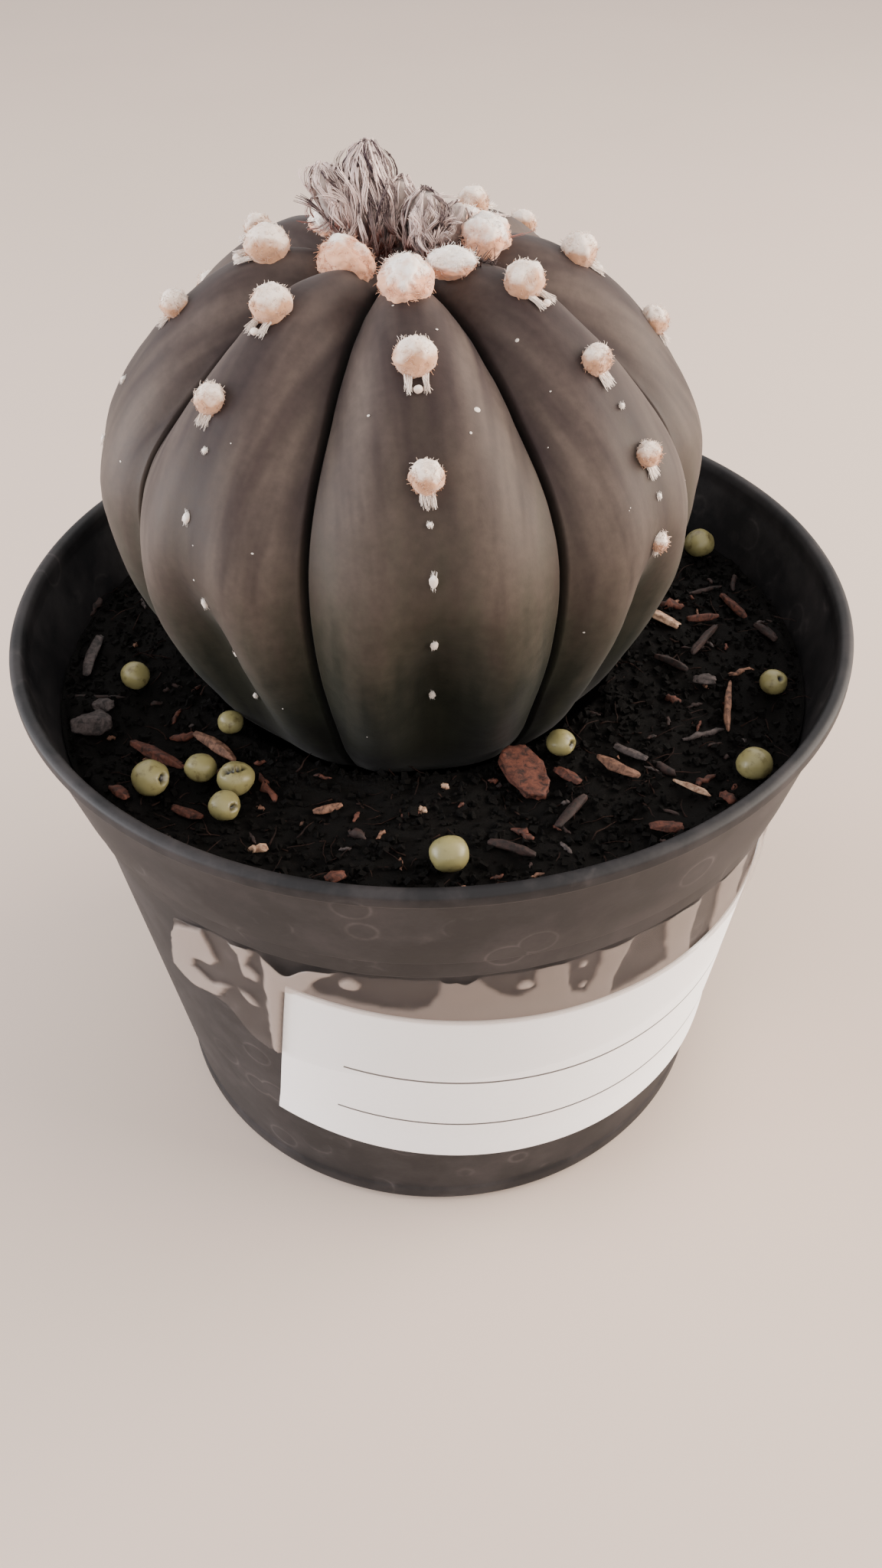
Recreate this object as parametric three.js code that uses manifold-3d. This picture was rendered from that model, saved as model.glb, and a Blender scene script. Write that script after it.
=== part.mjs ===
// A star cactus in a small round nursery pot.
//
// Millimetres, +Z up. The origin is the middle of the pot's foot, on the surface it stands on.
// The plant is one eight-ribbed stem with its wool tufts, and two hairy flower buds on its crown.
// It stands in a plain hole in the potting mix. Fertiliser prills and bits of bark lie on the mix.
// A paper label is held on the pot's wall by a strip of clear tape.

import * as THREE from 'three';
import { mergeVertices } from 'three/addons/utils/BufferGeometryUtils.js';
import Module from 'manifold-3d';

const wasm = await Module();
wasm.setup();

// ---------------------------------------------------------------------------------------------
// Driving dimensions
// ---------------------------------------------------------------------------------------------

const POT_HEIGHT = 67.1;
const RIM_RADIUS = 45; // outside of the rolled lip
const LIP_WIDTH = 1.5;
const BAND_TOP_RADIUS = 44.45;
const BAND_TOP_Z = 65.2;
const BAND_FOOT_RADIUS = 41.95;
const BAND_FOOT_Z = 55;
const WALL_TOP_RADIUS = 40.5;
const WALL_TOP_Z = 51.2;
const WALL_FOOT_RADIUS = 34.95;
const WALL_FOOT_Z = 3.2;
const WALL_THICKNESS = 1.05;
const FOOT_RADIUS = 35.15;
const FOOT_RING_INNER_RADIUS = 31.9;
const FLOOR_UNDERSIDE_Z = 1.6;
const FLOOR_TOP_Z = 2.6;
const POT_SEGMENTS = 56;
const DRAIN_HOLE_RADIUS = 3.2;
const DRAIN_HOLE_COUNT = 6;
const DRAIN_CIRCLE_RADIUS = 22;

const REST_GAP = 0.3; // between pieces that lie against each other
const SOIL_LEVEL = 58.5;
const SOIL_TOP_RINGS = 8;
const SOIL_WAVE = 0.75; // half height of the hollows and rises in the potting mix
const SOIL_GRAIN = 0.35;

const STEM_X = -2.5; // the plant grows a little off the middle of the pot
const STEM_Y = 3;
const STEM_TOP = 104;
const FURROW_DEPTH = 2.3;
const FURROW_LIP = 0.965; // where a rib's side turns into its furrow, as a share of half a rib
const SHOULDER_ROUNDING = 0.55;
const SHOULDER_START = 0.72;

const WALL_SLOPE = (WALL_TOP_RADIUS - WALL_FOOT_RADIUS) / (WALL_TOP_Z - WALL_FOOT_Z);

const LABEL_WIDTH = 70;
const LABEL_HEIGHT = 29.7;
const LABEL_LEFT = -23.4; // the label's left edge, from the point where the sheet is set out
const LABEL_AZIMUTH = -81.6;
const LABEL_Z = 26.4;
const LABEL_TILT = -7.3;
const SHEET_THICKNESS = 0.25;
const SHEET_GAP = 0.25;

const TAPE_FROM_AZIMUTH = -141;
const TAPE_TO_AZIMUTH = -8;
const TAPE_BOTTOM_Z = 31.4;
const TAPE_TOP_Z = 50.4; // tucked up under the rim band

// ---------------------------------------------------------------------------------------------
// Colours
// ---------------------------------------------------------------------------------------------

const finish = (color, roughness) => new THREE.MeshStandardMaterial({ color, roughness, metalness: 0 });
const POT_PLASTIC = finish(0x2f2b2b, 0.5);
const POTTING_MIX = finish(0x1a1413, 0.95);
const CACTUS_SKIN = finish(0x67605a, 0.55);
const BUD_WOOL = finish(0x9d8d88, 0.9);
const PRILL_RESIN = finish(0xa9a877, 0.4);
const LABEL_PAPER = finish(0xf4f1ee, 0.8);
const CLEAR_TAPE = finish(0xb9aea8, 0.2);
const BARK_COLOURS = { red: 0x7a4636, pale: 0xa8806a, grey: 0x6f6460, dark: 0x4a322a, cream: 0xd9b79c };

// ---------------------------------------------------------------------------------------------
// Helpers
// ---------------------------------------------------------------------------------------------

const radians = THREE.MathUtils.degToRad;
const lerp = THREE.MathUtils.lerp;
const smoothstep = THREE.MathUtils.smoothstep;
const UP = new THREE.Vector3(0, 0, 1);

// A repeatable stream of numbers from 0 to 1.
function seededRandom(seed) {
  let state = seed;
  return () => {
    state = (state + 0x6d2b79f5) | 0;
    let mixed = Math.imul(state ^ (state >>> 15), 1 | state);
    mixed = (mixed + Math.imul(mixed ^ (mixed >>> 7), 61 | mixed)) ^ mixed;
    return ((mixed ^ (mixed >>> 14)) >>> 0) / 4294967296;
  };
}

// A closed surface through rings of points, from the lowest to the highest. Rings run
// counter-clockwise seen from above, and a ring of one point closes an end.
function ringBody(rings) {
  const positions = [];
  const starts = [];
  for (const ring of rings) {
    starts.push(positions.length / 3);
    for (const point of ring) positions.push(point.x, point.y, point.z);
  }
  const index = [];
  for (let k = 0; k + 1 < rings.length; k += 1) {
    const [low, high] = [rings[k].length, rings[k + 1].length];
    const count = Math.max(low, high);
    for (let i = 0; i < count; i += 1) {
      const next = (i + 1) % count;
      if (low > 1) index.push(starts[k] + i, starts[k] + next, starts[k + 1] + (high > 1 ? next : 0));
      if (high > 1) index.push(starts[k] + (low > 1 ? i : 0), starts[k + 1] + next, starts[k + 1] + i);
    }
  }
  const geometry = new THREE.BufferGeometry();
  geometry.setAttribute('position', new THREE.Float32BufferAttribute(positions, 3));
  geometry.setIndex(index);
  geometry.computeVertexNormals();
  return geometry;
}

function toSolid(geometry) {
  const bare = geometry.clone();
  bare.deleteAttribute('normal');
  bare.deleteAttribute('uv');
  const merged = mergeVertices(bare, 1e-4);
  const corners = merged.index.array;
  const triVerts = [];
  for (let i = 0; i < corners.length; i += 3) {
    const [a, b, c] = [corners[i], corners[i + 1], corners[i + 2]];
    if (a !== b && b !== c && c !== a) triVerts.push(a, b, c);
  }
  return new wasm.Manifold(new wasm.Mesh({
    numProp: 3,
    vertProperties: new Float32Array(merged.attributes.position.array),
    triVerts: new Uint32Array(triVerts),
  }));
}

function toGeometry(solid) {
  const mesh = solid.getMesh();
  const geometry = new THREE.BufferGeometry();
  geometry.setAttribute('position', new THREE.Float32BufferAttribute(mesh.vertProperties, 3));
  geometry.setIndex(new THREE.Uint32BufferAttribute(mesh.triVerts, 1));
  geometry.computeVertexNormals();
  return geometry;
}

const fuse = (geometries) => geometries.map(toSolid).reduce((body, piece) => body.add(piece));

function named(name, geometry, material) {
  const mesh = new THREE.Mesh(geometry, material);
  mesh.name = name;
  return mesh;
}

// A blob of wool or resin with a lumpy skin, from a round form stretched along its own axes.
function blob(geometry, size, lumps, random) {
  geometry.deleteAttribute('normal');
  geometry.deleteAttribute('uv');
  const merged = mergeVertices(geometry, 1e-4);
  const points = merged.attributes.position;
  for (let i = 0; i < points.count; i += 1) {
    const swell = 1 + lumps * (random() - 0.5);
    const [x, y, z] = [points.getX(i), points.getY(i), points.getZ(i)];
    points.setXYZ(i, x * size[0] * swell, y * size[1] * swell, z * size[2] * swell);
  }
  return merged;
}

const roundForm = () => new THREE.IcosahedronGeometry(1, 1);
const smallForm = () => new THREE.OctahedronGeometry(1, 0);

// A solid strand through a list of points, thinning to its tip. Its root is left blunt.
function strand(path, radius, sides) {
  const rings = path.map((point, k) => {
    if (k === path.length - 1) return [point];
    const along = path[k + 1].clone().sub(path[Math.max(k - 1, 0)]).normalize();
    const side = new THREE.Vector3().crossVectors(UP, along);
    if (side.lengthSq() < 0.01) side.set(1, 0, 0);
    side.normalize();
    const other = new THREE.Vector3().crossVectors(along, side);
    const reach = radius * (1 - (0.6 * k) / (path.length - 1));
    return Array.from({ length: sides }, (_, i) => {
      const turn = (i / sides) * Math.PI * 2;
      return point.clone().addScaledVector(side, reach * Math.cos(turn))
        .addScaledVector(other, reach * Math.sin(turn));
    });
  });
  return ringBody([[path[0].clone()], ...rings]);
}

// Lowers a piece until it lies on what is under it, with the resting gap between them.
function settle(piece, ground) {
  const LIFT = 40;
  piece.position.z += LIFT;
  piece.updateMatrixWorld(true);
  ground.forEach((mesh) => mesh.updateMatrixWorld(true));
  const caster = new THREE.Raycaster();
  const down = new THREE.Vector3(0, 0, -1);
  let clearance = Infinity;
  const probe = (origin, direction, targets) => {
    caster.set(origin, direction);
    const hit = caster.intersectObjects(targets, false)[0];
    if (hit) clearance = Math.min(clearance, hit.distance);
  };
  const points = piece.geometry.attributes.position;
  const corners = piece.geometry.index.array;
  const vertex = (i) => new THREE.Vector3().fromBufferAttribute(points, i).applyMatrix4(piece.matrixWorld);
  const box = new THREE.Box3().setFromObject(piece);
  for (let i = 0; i < corners.length; i += 3) {
    const [a, b] = [vertex(corners[i]), vertex(corners[i + 1])];
    probe(a, down, ground);
    probe(a.clone().lerp(b, 0.5), down, ground);
  }
  for (const mesh of ground) {
    const below = mesh.geometry.attributes.position;
    for (let i = 0; i < below.count; i += 1) {
      const point = new THREE.Vector3().fromBufferAttribute(below, i).applyMatrix4(mesh.matrixWorld);
      const inside = point.x > box.min.x && point.x < box.max.x && point.y > box.min.y && point.y < box.max.y;
      if (inside) probe(point, UP, [piece]);
    }
  }
  piece.position.z -= clearance - REST_GAP;
  piece.updateMatrixWorld(true);
  return piece;
}

// ---------------------------------------------------------------------------------------------
// Pot: one injection-moulded piece, with a rolled lip, a rim band, a tapered wall and a foot ring
// ---------------------------------------------------------------------------------------------

function pot() {
  const innerLip = RIM_RADIUS - LIP_WIDTH;
  const profile = [
    [0, FLOOR_UNDERSIDE_Z],
    [FOOT_RING_INNER_RADIUS - 0.3, FLOOR_UNDERSIDE_Z],
    [FOOT_RING_INNER_RADIUS, 0],
    [FOOT_RADIUS - 1.5, 0],
    [FOOT_RADIUS - 0.3, 0.8],
    [FOOT_RADIUS, 2.4],
    [WALL_FOOT_RADIUS, WALL_FOOT_Z],
    [WALL_TOP_RADIUS, WALL_TOP_Z],
    [BAND_FOOT_RADIUS - 0.85, WALL_TOP_Z + 0.4],
    [BAND_FOOT_RADIUS - 0.3, BAND_FOOT_Z - 0.7],
    [BAND_FOOT_RADIUS, BAND_FOOT_Z - 0.3],
    [BAND_TOP_RADIUS, BAND_TOP_Z],
    [RIM_RADIUS, BAND_TOP_Z + 0.4],
    [RIM_RADIUS, POT_HEIGHT - 0.8],
    [RIM_RADIUS - 0.5, POT_HEIGHT],
    [innerLip + 0.15, POT_HEIGHT - 0.25],
    [innerLip - 0.05, POT_HEIGHT - 0.9],
    [BAND_TOP_RADIUS - WALL_THICKNESS, BAND_TOP_Z],
    [BAND_FOOT_RADIUS - WALL_THICKNESS, BAND_FOOT_Z],
    [WALL_TOP_RADIUS - WALL_THICKNESS, WALL_TOP_Z],
    [WALL_FOOT_RADIUS - WALL_THICKNESS, WALL_FOOT_Z],
    [WALL_FOOT_RADIUS - WALL_THICKNESS - 0.8, FLOOR_TOP_Z],
    [0, FLOOR_TOP_Z],
  ].map(([radius, z]) => new THREE.Vector2(radius, z));
  const shell = toSolid(new THREE.LatheGeometry(profile, POT_SEGMENTS).rotateX(Math.PI / 2));
  const holes = [[0, 0]];
  for (let i = 0; i < DRAIN_HOLE_COUNT; i += 1) {
    const turn = (i / DRAIN_HOLE_COUNT) * Math.PI * 2;
    holes.push([DRAIN_CIRCLE_RADIUS * Math.cos(turn), DRAIN_CIRCLE_RADIUS * Math.sin(turn)]);
  }
  const drilled = holes.reduce((body, [x, y]) => {
    const drill = new THREE.CylinderGeometry(DRAIN_HOLE_RADIUS, DRAIN_HOLE_RADIUS, 6, 10);
    return body.subtract(toSolid(drill.rotateX(Math.PI / 2).translate(x, y, FLOOR_TOP_Z)));
  }, shell);
  return named('pot', toGeometry(drilled), POT_PLASTIC);
}

// ---------------------------------------------------------------------------------------------
// Stem: eight ribs between narrow furrows
// ---------------------------------------------------------------------------------------------

// Three lines run from the crown down to the root, as [distance from the stem's axis, height].
// A rib has its crest in the middle, a flank on each side of it, and a furrow at each edge.
// They are set out at the same stations, so a station is one level round the stem.
const CREST = [[0, 100.3], [4, 102], [8, 103.3], [12, 103.2], [16.2, 101.6], [20.4, 98.7], [24, 95.2],
  [27, 91.4], [29.2, 87.2], [30, 83], [28.9, 79.2], [27, 75.3], [25.5, 71], [23.9, 65.3], [21.7, 58.5],
  [17.5, 53.6], [10, 50], [5.2, 45], [2.6, 39], [0, 35]];
const FLANK = [[0, 100.3], [4.1, 101.5], [7.9, 102.5], [11.7, 102.4], [15.7, 100.9], [19.8, 98.1],
  [23.5, 94.9], [26.7, 91.2], [29.2, 87], [30.4, 82.8], [30.4, 78.6], [29.6, 74], [27.8, 69],
  [25.3, 63.8], [22.3, 58.5], [17.5, 53.6], [10, 50], [5.2, 45], [2.6, 39], [0, 35]];
const FURROW = [[0, 100.3], [3.8, 100.4], [6.8, 100.7], [9.9, 100.8], [13.4, 99.8], [17.2, 97.6],
  [20.6, 94.9], [23.8, 92.1], [26.4, 89], [28.1, 85.4], [28.7, 81], [28.3, 76.2], [27.2, 71.3],
  [25.2, 65.3], [22.4, 58.8], [17.5, 53.6], [10, 50], [5.2, 45], [2.6, 39], [0, 35]];
const SOIL_STATION = 14;
const LAST_STATION = CREST.length - 1;

// The ribs, with the bearing of each crest and of the furrow before it in degrees. balls are the
// stations of its wool balls, and dots its small tufts, as [station, across the rib, half length].
const RIBS = [
  { crest: -84.3, edge: -107.5, balls: [4.45, 6.4],
    dots: [[7.25, 0, 0.4], [8.27, 0, 0.95], [10.1, 0, 0.8], [12.1, 0, 0.75]] },
  { crest: -37, edge: -60.5, balls: [3.4, 5.35, 7.3],
    dots: [[6.25, 0, 0.4], [8.1, 0, 0.5], [9.1, -0.05, 0.85], [11.1, -0.2, 0.6], [12.65, -0.2, 0.5]] },
  { crest: 6, edge: -15.5, balls: [4.2, 6.3], dots: [[8.2, 0, 0.7], [9.9, 0, 0.7], [11.6, 0, 0.6]] },
  { crest: 51, edge: 28.5, balls: [3, 4.95, 6.7], dots: [[8, 0, 0.7], [9.6, 0, 0.8], [11.4, 0, 0.6]] },
  { crest: 96, edge: 73.5, balls: [3.9, 5.7], dots: [[7, 0, 0.5], [8.6, 0, 0.8], [10.9, 0, 0.7], [12.6, 0, 0.6]] },
  { crest: 141, edge: 118.5, balls: [4.9, 6.7], dots: [[7.9, 0, 0.6], [9.7, 0, 0.8], [12, 0, 0.6]] },
  { crest: 186, edge: 163.5, balls: [3, 5, 6.85], dots: [[8.3, 0, 0.7], [9.6, 0, 0.6], [11.3, 0, 0.6]] },
  { crest: 230, edge: 208, balls: [3.85, 5.55],
    dots: [[6.5, 0, 0.4], [7.75, 0, 0.85], [9.6, 0.15, 0.8], [11.75, 0.05, 0.6], [13, 0, 0.5]] },
];

// The wool. A cushion stands at the top of each rib. The first ball below it is the largest, and
// each next one is smaller by one step. The first ball has a tail of two prongs, the others of one.
const CUSHION = { station: 2.05, half: [2.9, 2.3, 1.75], rise: 0.55 };
const BALL_HALF = 2.15;
const BALL_STEP = 0.37;
const BALL_RISE = 0.42; // of its half size, above the skin
const PRONG_HALF = [0.5, 1.3, 0.5];
const SHORT_TAIL_HALF = [0.75, 1.1, 0.5];
const DOT_HALF = 0.5;
const LUMPS = 0.1;

const crestLine = new THREE.CatmullRomCurve3(CREST.map(([r, z]) => new THREE.Vector3(r, 0, z)));
const flankLine = new THREE.CatmullRomCurve3(FLANK.map(([r, z]) => new THREE.Vector3(r, 0, z)));
const furrowLine = new THREE.CatmullRomCurve3(FURROW.map(([r, z]) => new THREE.Vector3(r, 0, z)));
const at = (line, station) => line.getPoint(THREE.MathUtils.clamp(station / LAST_STATION, 0, 1));

// A point of the stem's skin. across runs from -1 in the furrow before a rib, through 0 on its
// crest, to 1 in the furrow after it.
function stemPoint(station, rib, across) {
  const [crest, flank, furrow] = [crestLine, flankLine, furrowLine].map((line) => at(line, station));
  const half = (crest.x + furrow.x) / 2;
  const halfZ = (crest.z + furrow.z) / 2;
  const [once, twice] = [Math.cos(Math.PI * across), Math.cos(2 * Math.PI * across)];
  let radius = (half + flank.x) / 2 + ((crest.x - furrow.x) / 2) * once + ((half - flank.x) / 2) * twice;
  let z = (halfZ + flank.z) / 2 + ((crest.z - furrow.z) / 2) * once + ((halfZ - flank.z) / 2) * twice;

  const ahead = at(furrowLine, station + 0.3).sub(at(furrowLine, station - 0.3)).normalize();
  const fade = smoothstep(station, 0.6, 2.2) * (1 - smoothstep(station, SOIL_STATION, SOIL_STATION + 1));
  const edge = Math.abs(across);
  const shoulder = smoothstep(edge, SHOULDER_START, 1) * SHOULDER_ROUNDING;
  const slit = edge > FURROW_LIP ? ((edge - FURROW_LIP) / (1 - FURROW_LIP)) * FURROW_DEPTH : 0;
  const inset = (shoulder + slit) * fade;
  radius += ahead.z * inset;
  z -= ahead.x * inset;

  const { crest: bearing, edge: before } = RIBS[rib];
  const after = rib + 1 < RIBS.length ? RIBS[rib + 1].edge : RIBS[0].edge + 360;
  const turn = radians(across < 0 ? lerp(bearing, before, -across) : lerp(bearing, after, across));
  return new THREE.Vector3(STEM_X + radius * Math.cos(turn), STEM_Y + radius * Math.sin(turn), z);
}

// A place on the skin with its directions: across the rib, down along it, and outward.
function skinFrame(station, rib, side) {
  const along = stemPoint(station + 0.1, rib, side).sub(stemPoint(station - 0.1, rib, side)).normalize();
  const across = stemPoint(station, rib, side + 0.06).sub(stemPoint(station, rib, side - 0.06)).normalize();
  const outward = new THREE.Vector3().crossVectors(along, across).normalize();
  return { point: stemPoint(station, rib, side), along, across, outward };
}

// Moves a form, set out with x across the rib, y down along it and z inward, to its place.
function onSkin(geometry, { station, rib, side = 0, slide = 0, sideways = 0, rise }) {
  const frame = skinFrame(station, rib, side);
  const place = frame.point.clone().addScaledVector(frame.along, slide)
    .addScaledVector(frame.across, sideways).addScaledVector(frame.outward, rise);
  const inward = new THREE.Vector3().crossVectors(frame.across, frame.along);
  const basis = new THREE.Matrix4().makeBasis(frame.across, frame.along, inward);
  return geometry.applyMatrix4(basis.setPosition(place));
}

function woolBall(station, rib, order, random) {
  const half = BALL_HALF - BALL_STEP * order;
  const ball = blob(roundForm(), [half, half * 1.03, half * 0.87], LUMPS, random);
  const tails = order === 0 ? [-1, 1] : [0];
  return [
    onSkin(ball, { station, rib, rise: half * BALL_RISE }),
    ...tails.map((hand) => {
      const tail = blob(smallForm(), order === 0 ? PRONG_HALF : SHORT_TAIL_HALF, LUMPS, random);
      return onSkin(tail, { station, rib, slide: half + 0.4, sideways: hand * half * 0.33, rise: 0.1 });
    }),
  ];
}

function woolTufts() {
  const random = seededRandom(11);
  return RIBS.flatMap(({ balls, dots }, rib) => [
    onSkin(blob(roundForm(), CUSHION.half, LUMPS, random), { station: CUSHION.station, rib, rise: CUSHION.rise }),
    ...balls.flatMap((station, order) => woolBall(station, rib, order, random)),
    ...dots.map(([station, side, halfLength]) => {
      const dot = blob(smallForm(), [DOT_HALF, halfLength, DOT_HALF], LUMPS, random);
      return onSkin(dot, { station, rib, side, rise: 0.05 });
    }),
  ]);
}

function stem() {
  const stations = [0.9, 1.8, 2.8, 3.8, 4.8, 5.8, 6.8, 7.8, 8.6, 9.4, 10.2, 11, 12, 13, 14,
    15, 16.2, 17.6];
  const acrossSteps = [-1, -FURROW_LIP, -0.8, -0.5, -0.22, 0, 0.22, 0.5, 0.8, FURROW_LIP];
  const ring = (station) => RIBS.flatMap((_, rib) => acrossSteps.map((step) => stemPoint(station, rib, step)));
  const rings = stations.map(ring).reverse();
  const ends = [LAST_STATION, 0].map((station) => [stemPoint(station, 0, 0)]);
  const skin = toSolid(ringBody([ends[0], ...rings, ends[1]]));
  return named('stem', toGeometry(skin.add(fuse(woolTufts()))), CACTUS_SKIN);
}

// ---------------------------------------------------------------------------------------------
// Flower buds: a scaly core under bristles
// ---------------------------------------------------------------------------------------------

// Where each bud stands on the crown, how far its tip leans, and the upright plane that its
// bristles keep to one side of, so that the two buds stay apart.
const BETWEEN_BUDS_X = -1.4;
const TALL_BUD = { x: -4.4, y: 4, height: 8.4, lean: [-1.4, 0.5], radius: 2.9, bristles: 46,
  limit: { x: BETWEEN_BUDS_X - 0.2, side: 1 }, seed: 21 };
const SHORT_BUD = { x: 0.9, y: 3.4, height: 4.2, lean: [0.1, 0.2], radius: 2.1, bristles: 30,
  limit: { x: BETWEEN_BUDS_X + 0.2, side: -1 }, seed: 22 };

function bud(name, { x, y, height, lean, radius, bristles, limit, seed }, ground) {
  const random = seededRandom(seed);
  const tip = new THREE.Vector3(lean[0], lean[1], height);
  const core = [[0.62, 0], [0.9, 0.12], [1, 0.35], [0.95, 0.6], [0.7, 0.82], [0.35, 0.95]];
  const sides = 9;
  const level = (share, reach) => Array.from({ length: sides }, (_, i) => {
    const turn = (i / sides) * Math.PI * 2;
    return new THREE.Vector3(Math.cos(turn), Math.sin(turn), 0).multiplyScalar(reach * radius)
      .addScaledVector(tip, share);
  });
  const rings = core.map(([reach, share]) => level(share, reach));
  const parts = [ringBody([[new THREE.Vector3()], ...rings, [tip.clone()]])];
  const goldenTurn = Math.PI * (3 - Math.sqrt(5));
  for (let i = 0; i < bristles; i += 1) {
    const share = lerp(0.3, 0.93, (i + 0.5) / bristles);
    const turn = i * goldenTurn;
    const out = new THREE.Vector3(Math.cos(turn), Math.sin(turn), 0);
    const swell = Math.sqrt(Math.max(0, 1 - ((share - 0.35) / 0.68) ** 2));
    const root = tip.clone().multiplyScalar(share).addScaledVector(out, swell * radius * 0.75);
    const reach = radius * (0.75 + 0.35 * random());
    const curl = radians(35 * (random() - 0.5));
    const rise = tip.clone().normalize().multiplyScalar(reach * (0.75 + share * 0.5));
    const bent = out.clone().applyAxisAngle(UP, curl);
    const middle = root.clone().addScaledVector(out, reach * 0.5).addScaledVector(rise, 0.5);
    const end = root.clone().addScaledVector(bent, reach * 0.72).add(rise);
    if (Math.sign(limit.side) * (end.x + x - limit.x) > 0) continue;
    parts.push(strand([root, middle, end], 0.3, 3));
  }
  const mesh = named(name, toGeometry(fuse(parts)), BUD_WOOL);
  mesh.position.set(x, y, STEM_TOP);
  return settle(mesh, ground);
}

// ---------------------------------------------------------------------------------------------
// Potting mix: fills the pot, with a plain hole for the foot of the stem
// ---------------------------------------------------------------------------------------------

function soilHeight(x, y, random) {
  const wave = Math.sin(x * 0.21 + 1.3) * Math.cos(y * 0.17 - 0.4) + 0.5 * Math.sin(x * 0.37 - y * 0.31);
  const nearStem = 1 - smoothstep(Math.hypot(x - STEM_X, y - STEM_Y), 23.5, 29);
  return SOIL_LEVEL + lerp(SOIL_WAVE * wave * 0.7, -0.2, nearStem) + SOIL_GRAIN * (random() - 0.5) * 2;
}

function soil() {
  const random = seededRandom(5);
  const clear = WALL_THICKNESS + REST_GAP;
  const turns = Array.from({ length: POT_SEGMENTS }, (_, i) => (i / POT_SEGMENTS) * Math.PI * 2);
  const circle = (radius, z, x = 0, y = 0) => turns.map((turn) => (
    new THREE.Vector3(x + radius * Math.cos(turn), y + radius * Math.sin(turn), z)));
  const bandSlope = (BAND_TOP_RADIUS - BAND_FOOT_RADIUS) / (BAND_TOP_Z - BAND_FOOT_Z);
  const edgeRadius = BAND_FOOT_RADIUS - clear + bandSlope * (SOIL_LEVEL - BAND_FOOT_Z - 1);
  const side = [
    circle(WALL_FOOT_RADIUS - clear - 0.8, FLOOR_TOP_Z + REST_GAP),
    circle(WALL_TOP_RADIUS - clear, WALL_TOP_Z),
    circle(BAND_FOOT_RADIUS - clear, BAND_FOOT_Z),
    circle(edgeRadius, SOIL_LEVEL - 0.8),
  ];
  const hole = [[23.4, SOIL_LEVEL - 0.3], [18.4, 53.2], [10.9, 49.4], [6, 44.5], [3.4, 38.5]]
    .map(([radius, z]) => circle(radius, z, STEM_X, STEM_Y));
  const top = Array.from({ length: SOIL_TOP_RINGS }, (_, k) => {
    const share = (k + 0.5) / SOIL_TOP_RINGS;
    return side[3].map((outer, i) => {
      const point = outer.clone().lerp(hole[0][i], share);
      point.z = soilHeight(point.x, point.y, random);
      return point;
    });
  });
  const bottom = [new THREE.Vector3(0, 0, FLOOR_TOP_Z + REST_GAP)];
  const holeEnd = [new THREE.Vector3(STEM_X, STEM_Y, 34)];
  return named('soil', ringBody([bottom, ...side, ...top, ...hole, holeEnd]), POTTING_MIX);
}

// ---------------------------------------------------------------------------------------------
// Loose pieces on the potting mix
// ---------------------------------------------------------------------------------------------

// Fertiliser prills, as [x, y, radius].
const PRILLS = [[-32.5, -5.4, 1.6], [-21.4, -13, 1.35], [-28.4, -22.1, 1.9], [-23.6, -20.4, 1.6],
  [-19.9, -22.2, 1.85], [-20.6, -26, 1.6], [1.3, -33.9, 1.9], [13.1, -17.8, 1.5], [33.3, 19.2, 1.85],
  [36.8, -8.7, 1.5], [32.3, -21.6, 1.8], [-12, 34.5, 1.7], [17.5, 31, 1.6]];

// Bits of bark and twig, as [from x, from y, to x, to y, width, thickness, colour].
const CHIPS = [
  [-31.9, -14.6, -25.6, -19, 1.7, 0.9, 'red'],
  [-25.4, -13.7, -20.4, -18.4, 1.4, 1, 'pale'],
  [-26.2, -24.6, -22.8, -26.4, 1.2, 0.9, 'red'],
  [-38.4, -12.9, -34, -12.3, 3.6, 2.3, 'grey'],
  [-36.8, -9.2, -34.4, -8.9, 2.2, 1.4, 'grey'],
  [-32.6, -22, -30.6, -24, 1.4, 0.9, 'red'],
  [-38.4, 4.6, -38.6, -3.2, 1.9, 1, 'grey'],
  [12.2, -20.8, 14.6, -23.2, 1.4, 0.9, 'red'],
  [16.6, -19.3, 20.8, -22.7, 1.3, 1, 'pale'],
  [18.6, -17.6, 21.8, -20.1, 1.2, 0.8, 'grey'],
  [15, -24.8, 11.8, -29.4, 1.6, 1.1, 'dark'],
  [25.2, 6.1, 28.4, 2.5, 1.7, 0.9, 'cream'],
  [34.3, 9.4, 36.5, 4.4, 1.3, 1, 'red'],
  [37.1, 2.8, 38.8, -0.6, 1.4, 0.9, 'dark'],
  [29.4, 4, 33.4, 4.7, 1.1, 0.9, 'red'],
  [28.9, -2.7, 32.7, 2.6, 1, 0.9, 'dark'],
  [24.8, -2.4, 28.3, -5.2, 1.1, 0.9, 'dark'],
  [28.4, -6.9, 31, -7.1, 1.9, 1.1, 'grey'],
  [32.6, -6.8, 30.9, -15.4, 0.9, 0.8, 'pale'],
  [24, -22.2, 27.6, -24.9, 0.6, 0.6, 'cream'],
  [20.8, -28.8, 24.2, -29.1, 1.7, 0.8, 'red'],
  [5, -31.1, 9.6, -33.3, 1.2, 0.9, 'dark'],
  [-12.1, -26, -9.1, -24.8, 0.9, 0.8, 'pale'],
  [-10.4, -35.3, -8.4, -34.8, 1.5, 1, 'red'],
  [-33, 17, -28.5, 20.5, 1.6, 1, 'red'],
  [-22, 28.5, -17, 30.5, 1.2, 0.9, 'dark'],
  [-4, 33.5, 1.5, 35.5, 1.9, 1, 'grey'],
  [8, 33.5, 11.5, 29.5, 1.4, 0.9, 'pale'],
  [24.5, 25, 29, 22.5, 1.5, 1, 'red'],
];

const FLAKE = { x: 9.4, y: -21.3, yaw: -62, tip: 8, thickness: 0.8 };
const FLAKE_OUTLINE = [[-3.7, -0.5], [-2.6, -1.9], [0.2, -2.2], [2.7, -1.7], [3.8, -0.2], [2.4, 1.2],
  [-0.3, 2], [-2.9, 1.5]];

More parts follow.
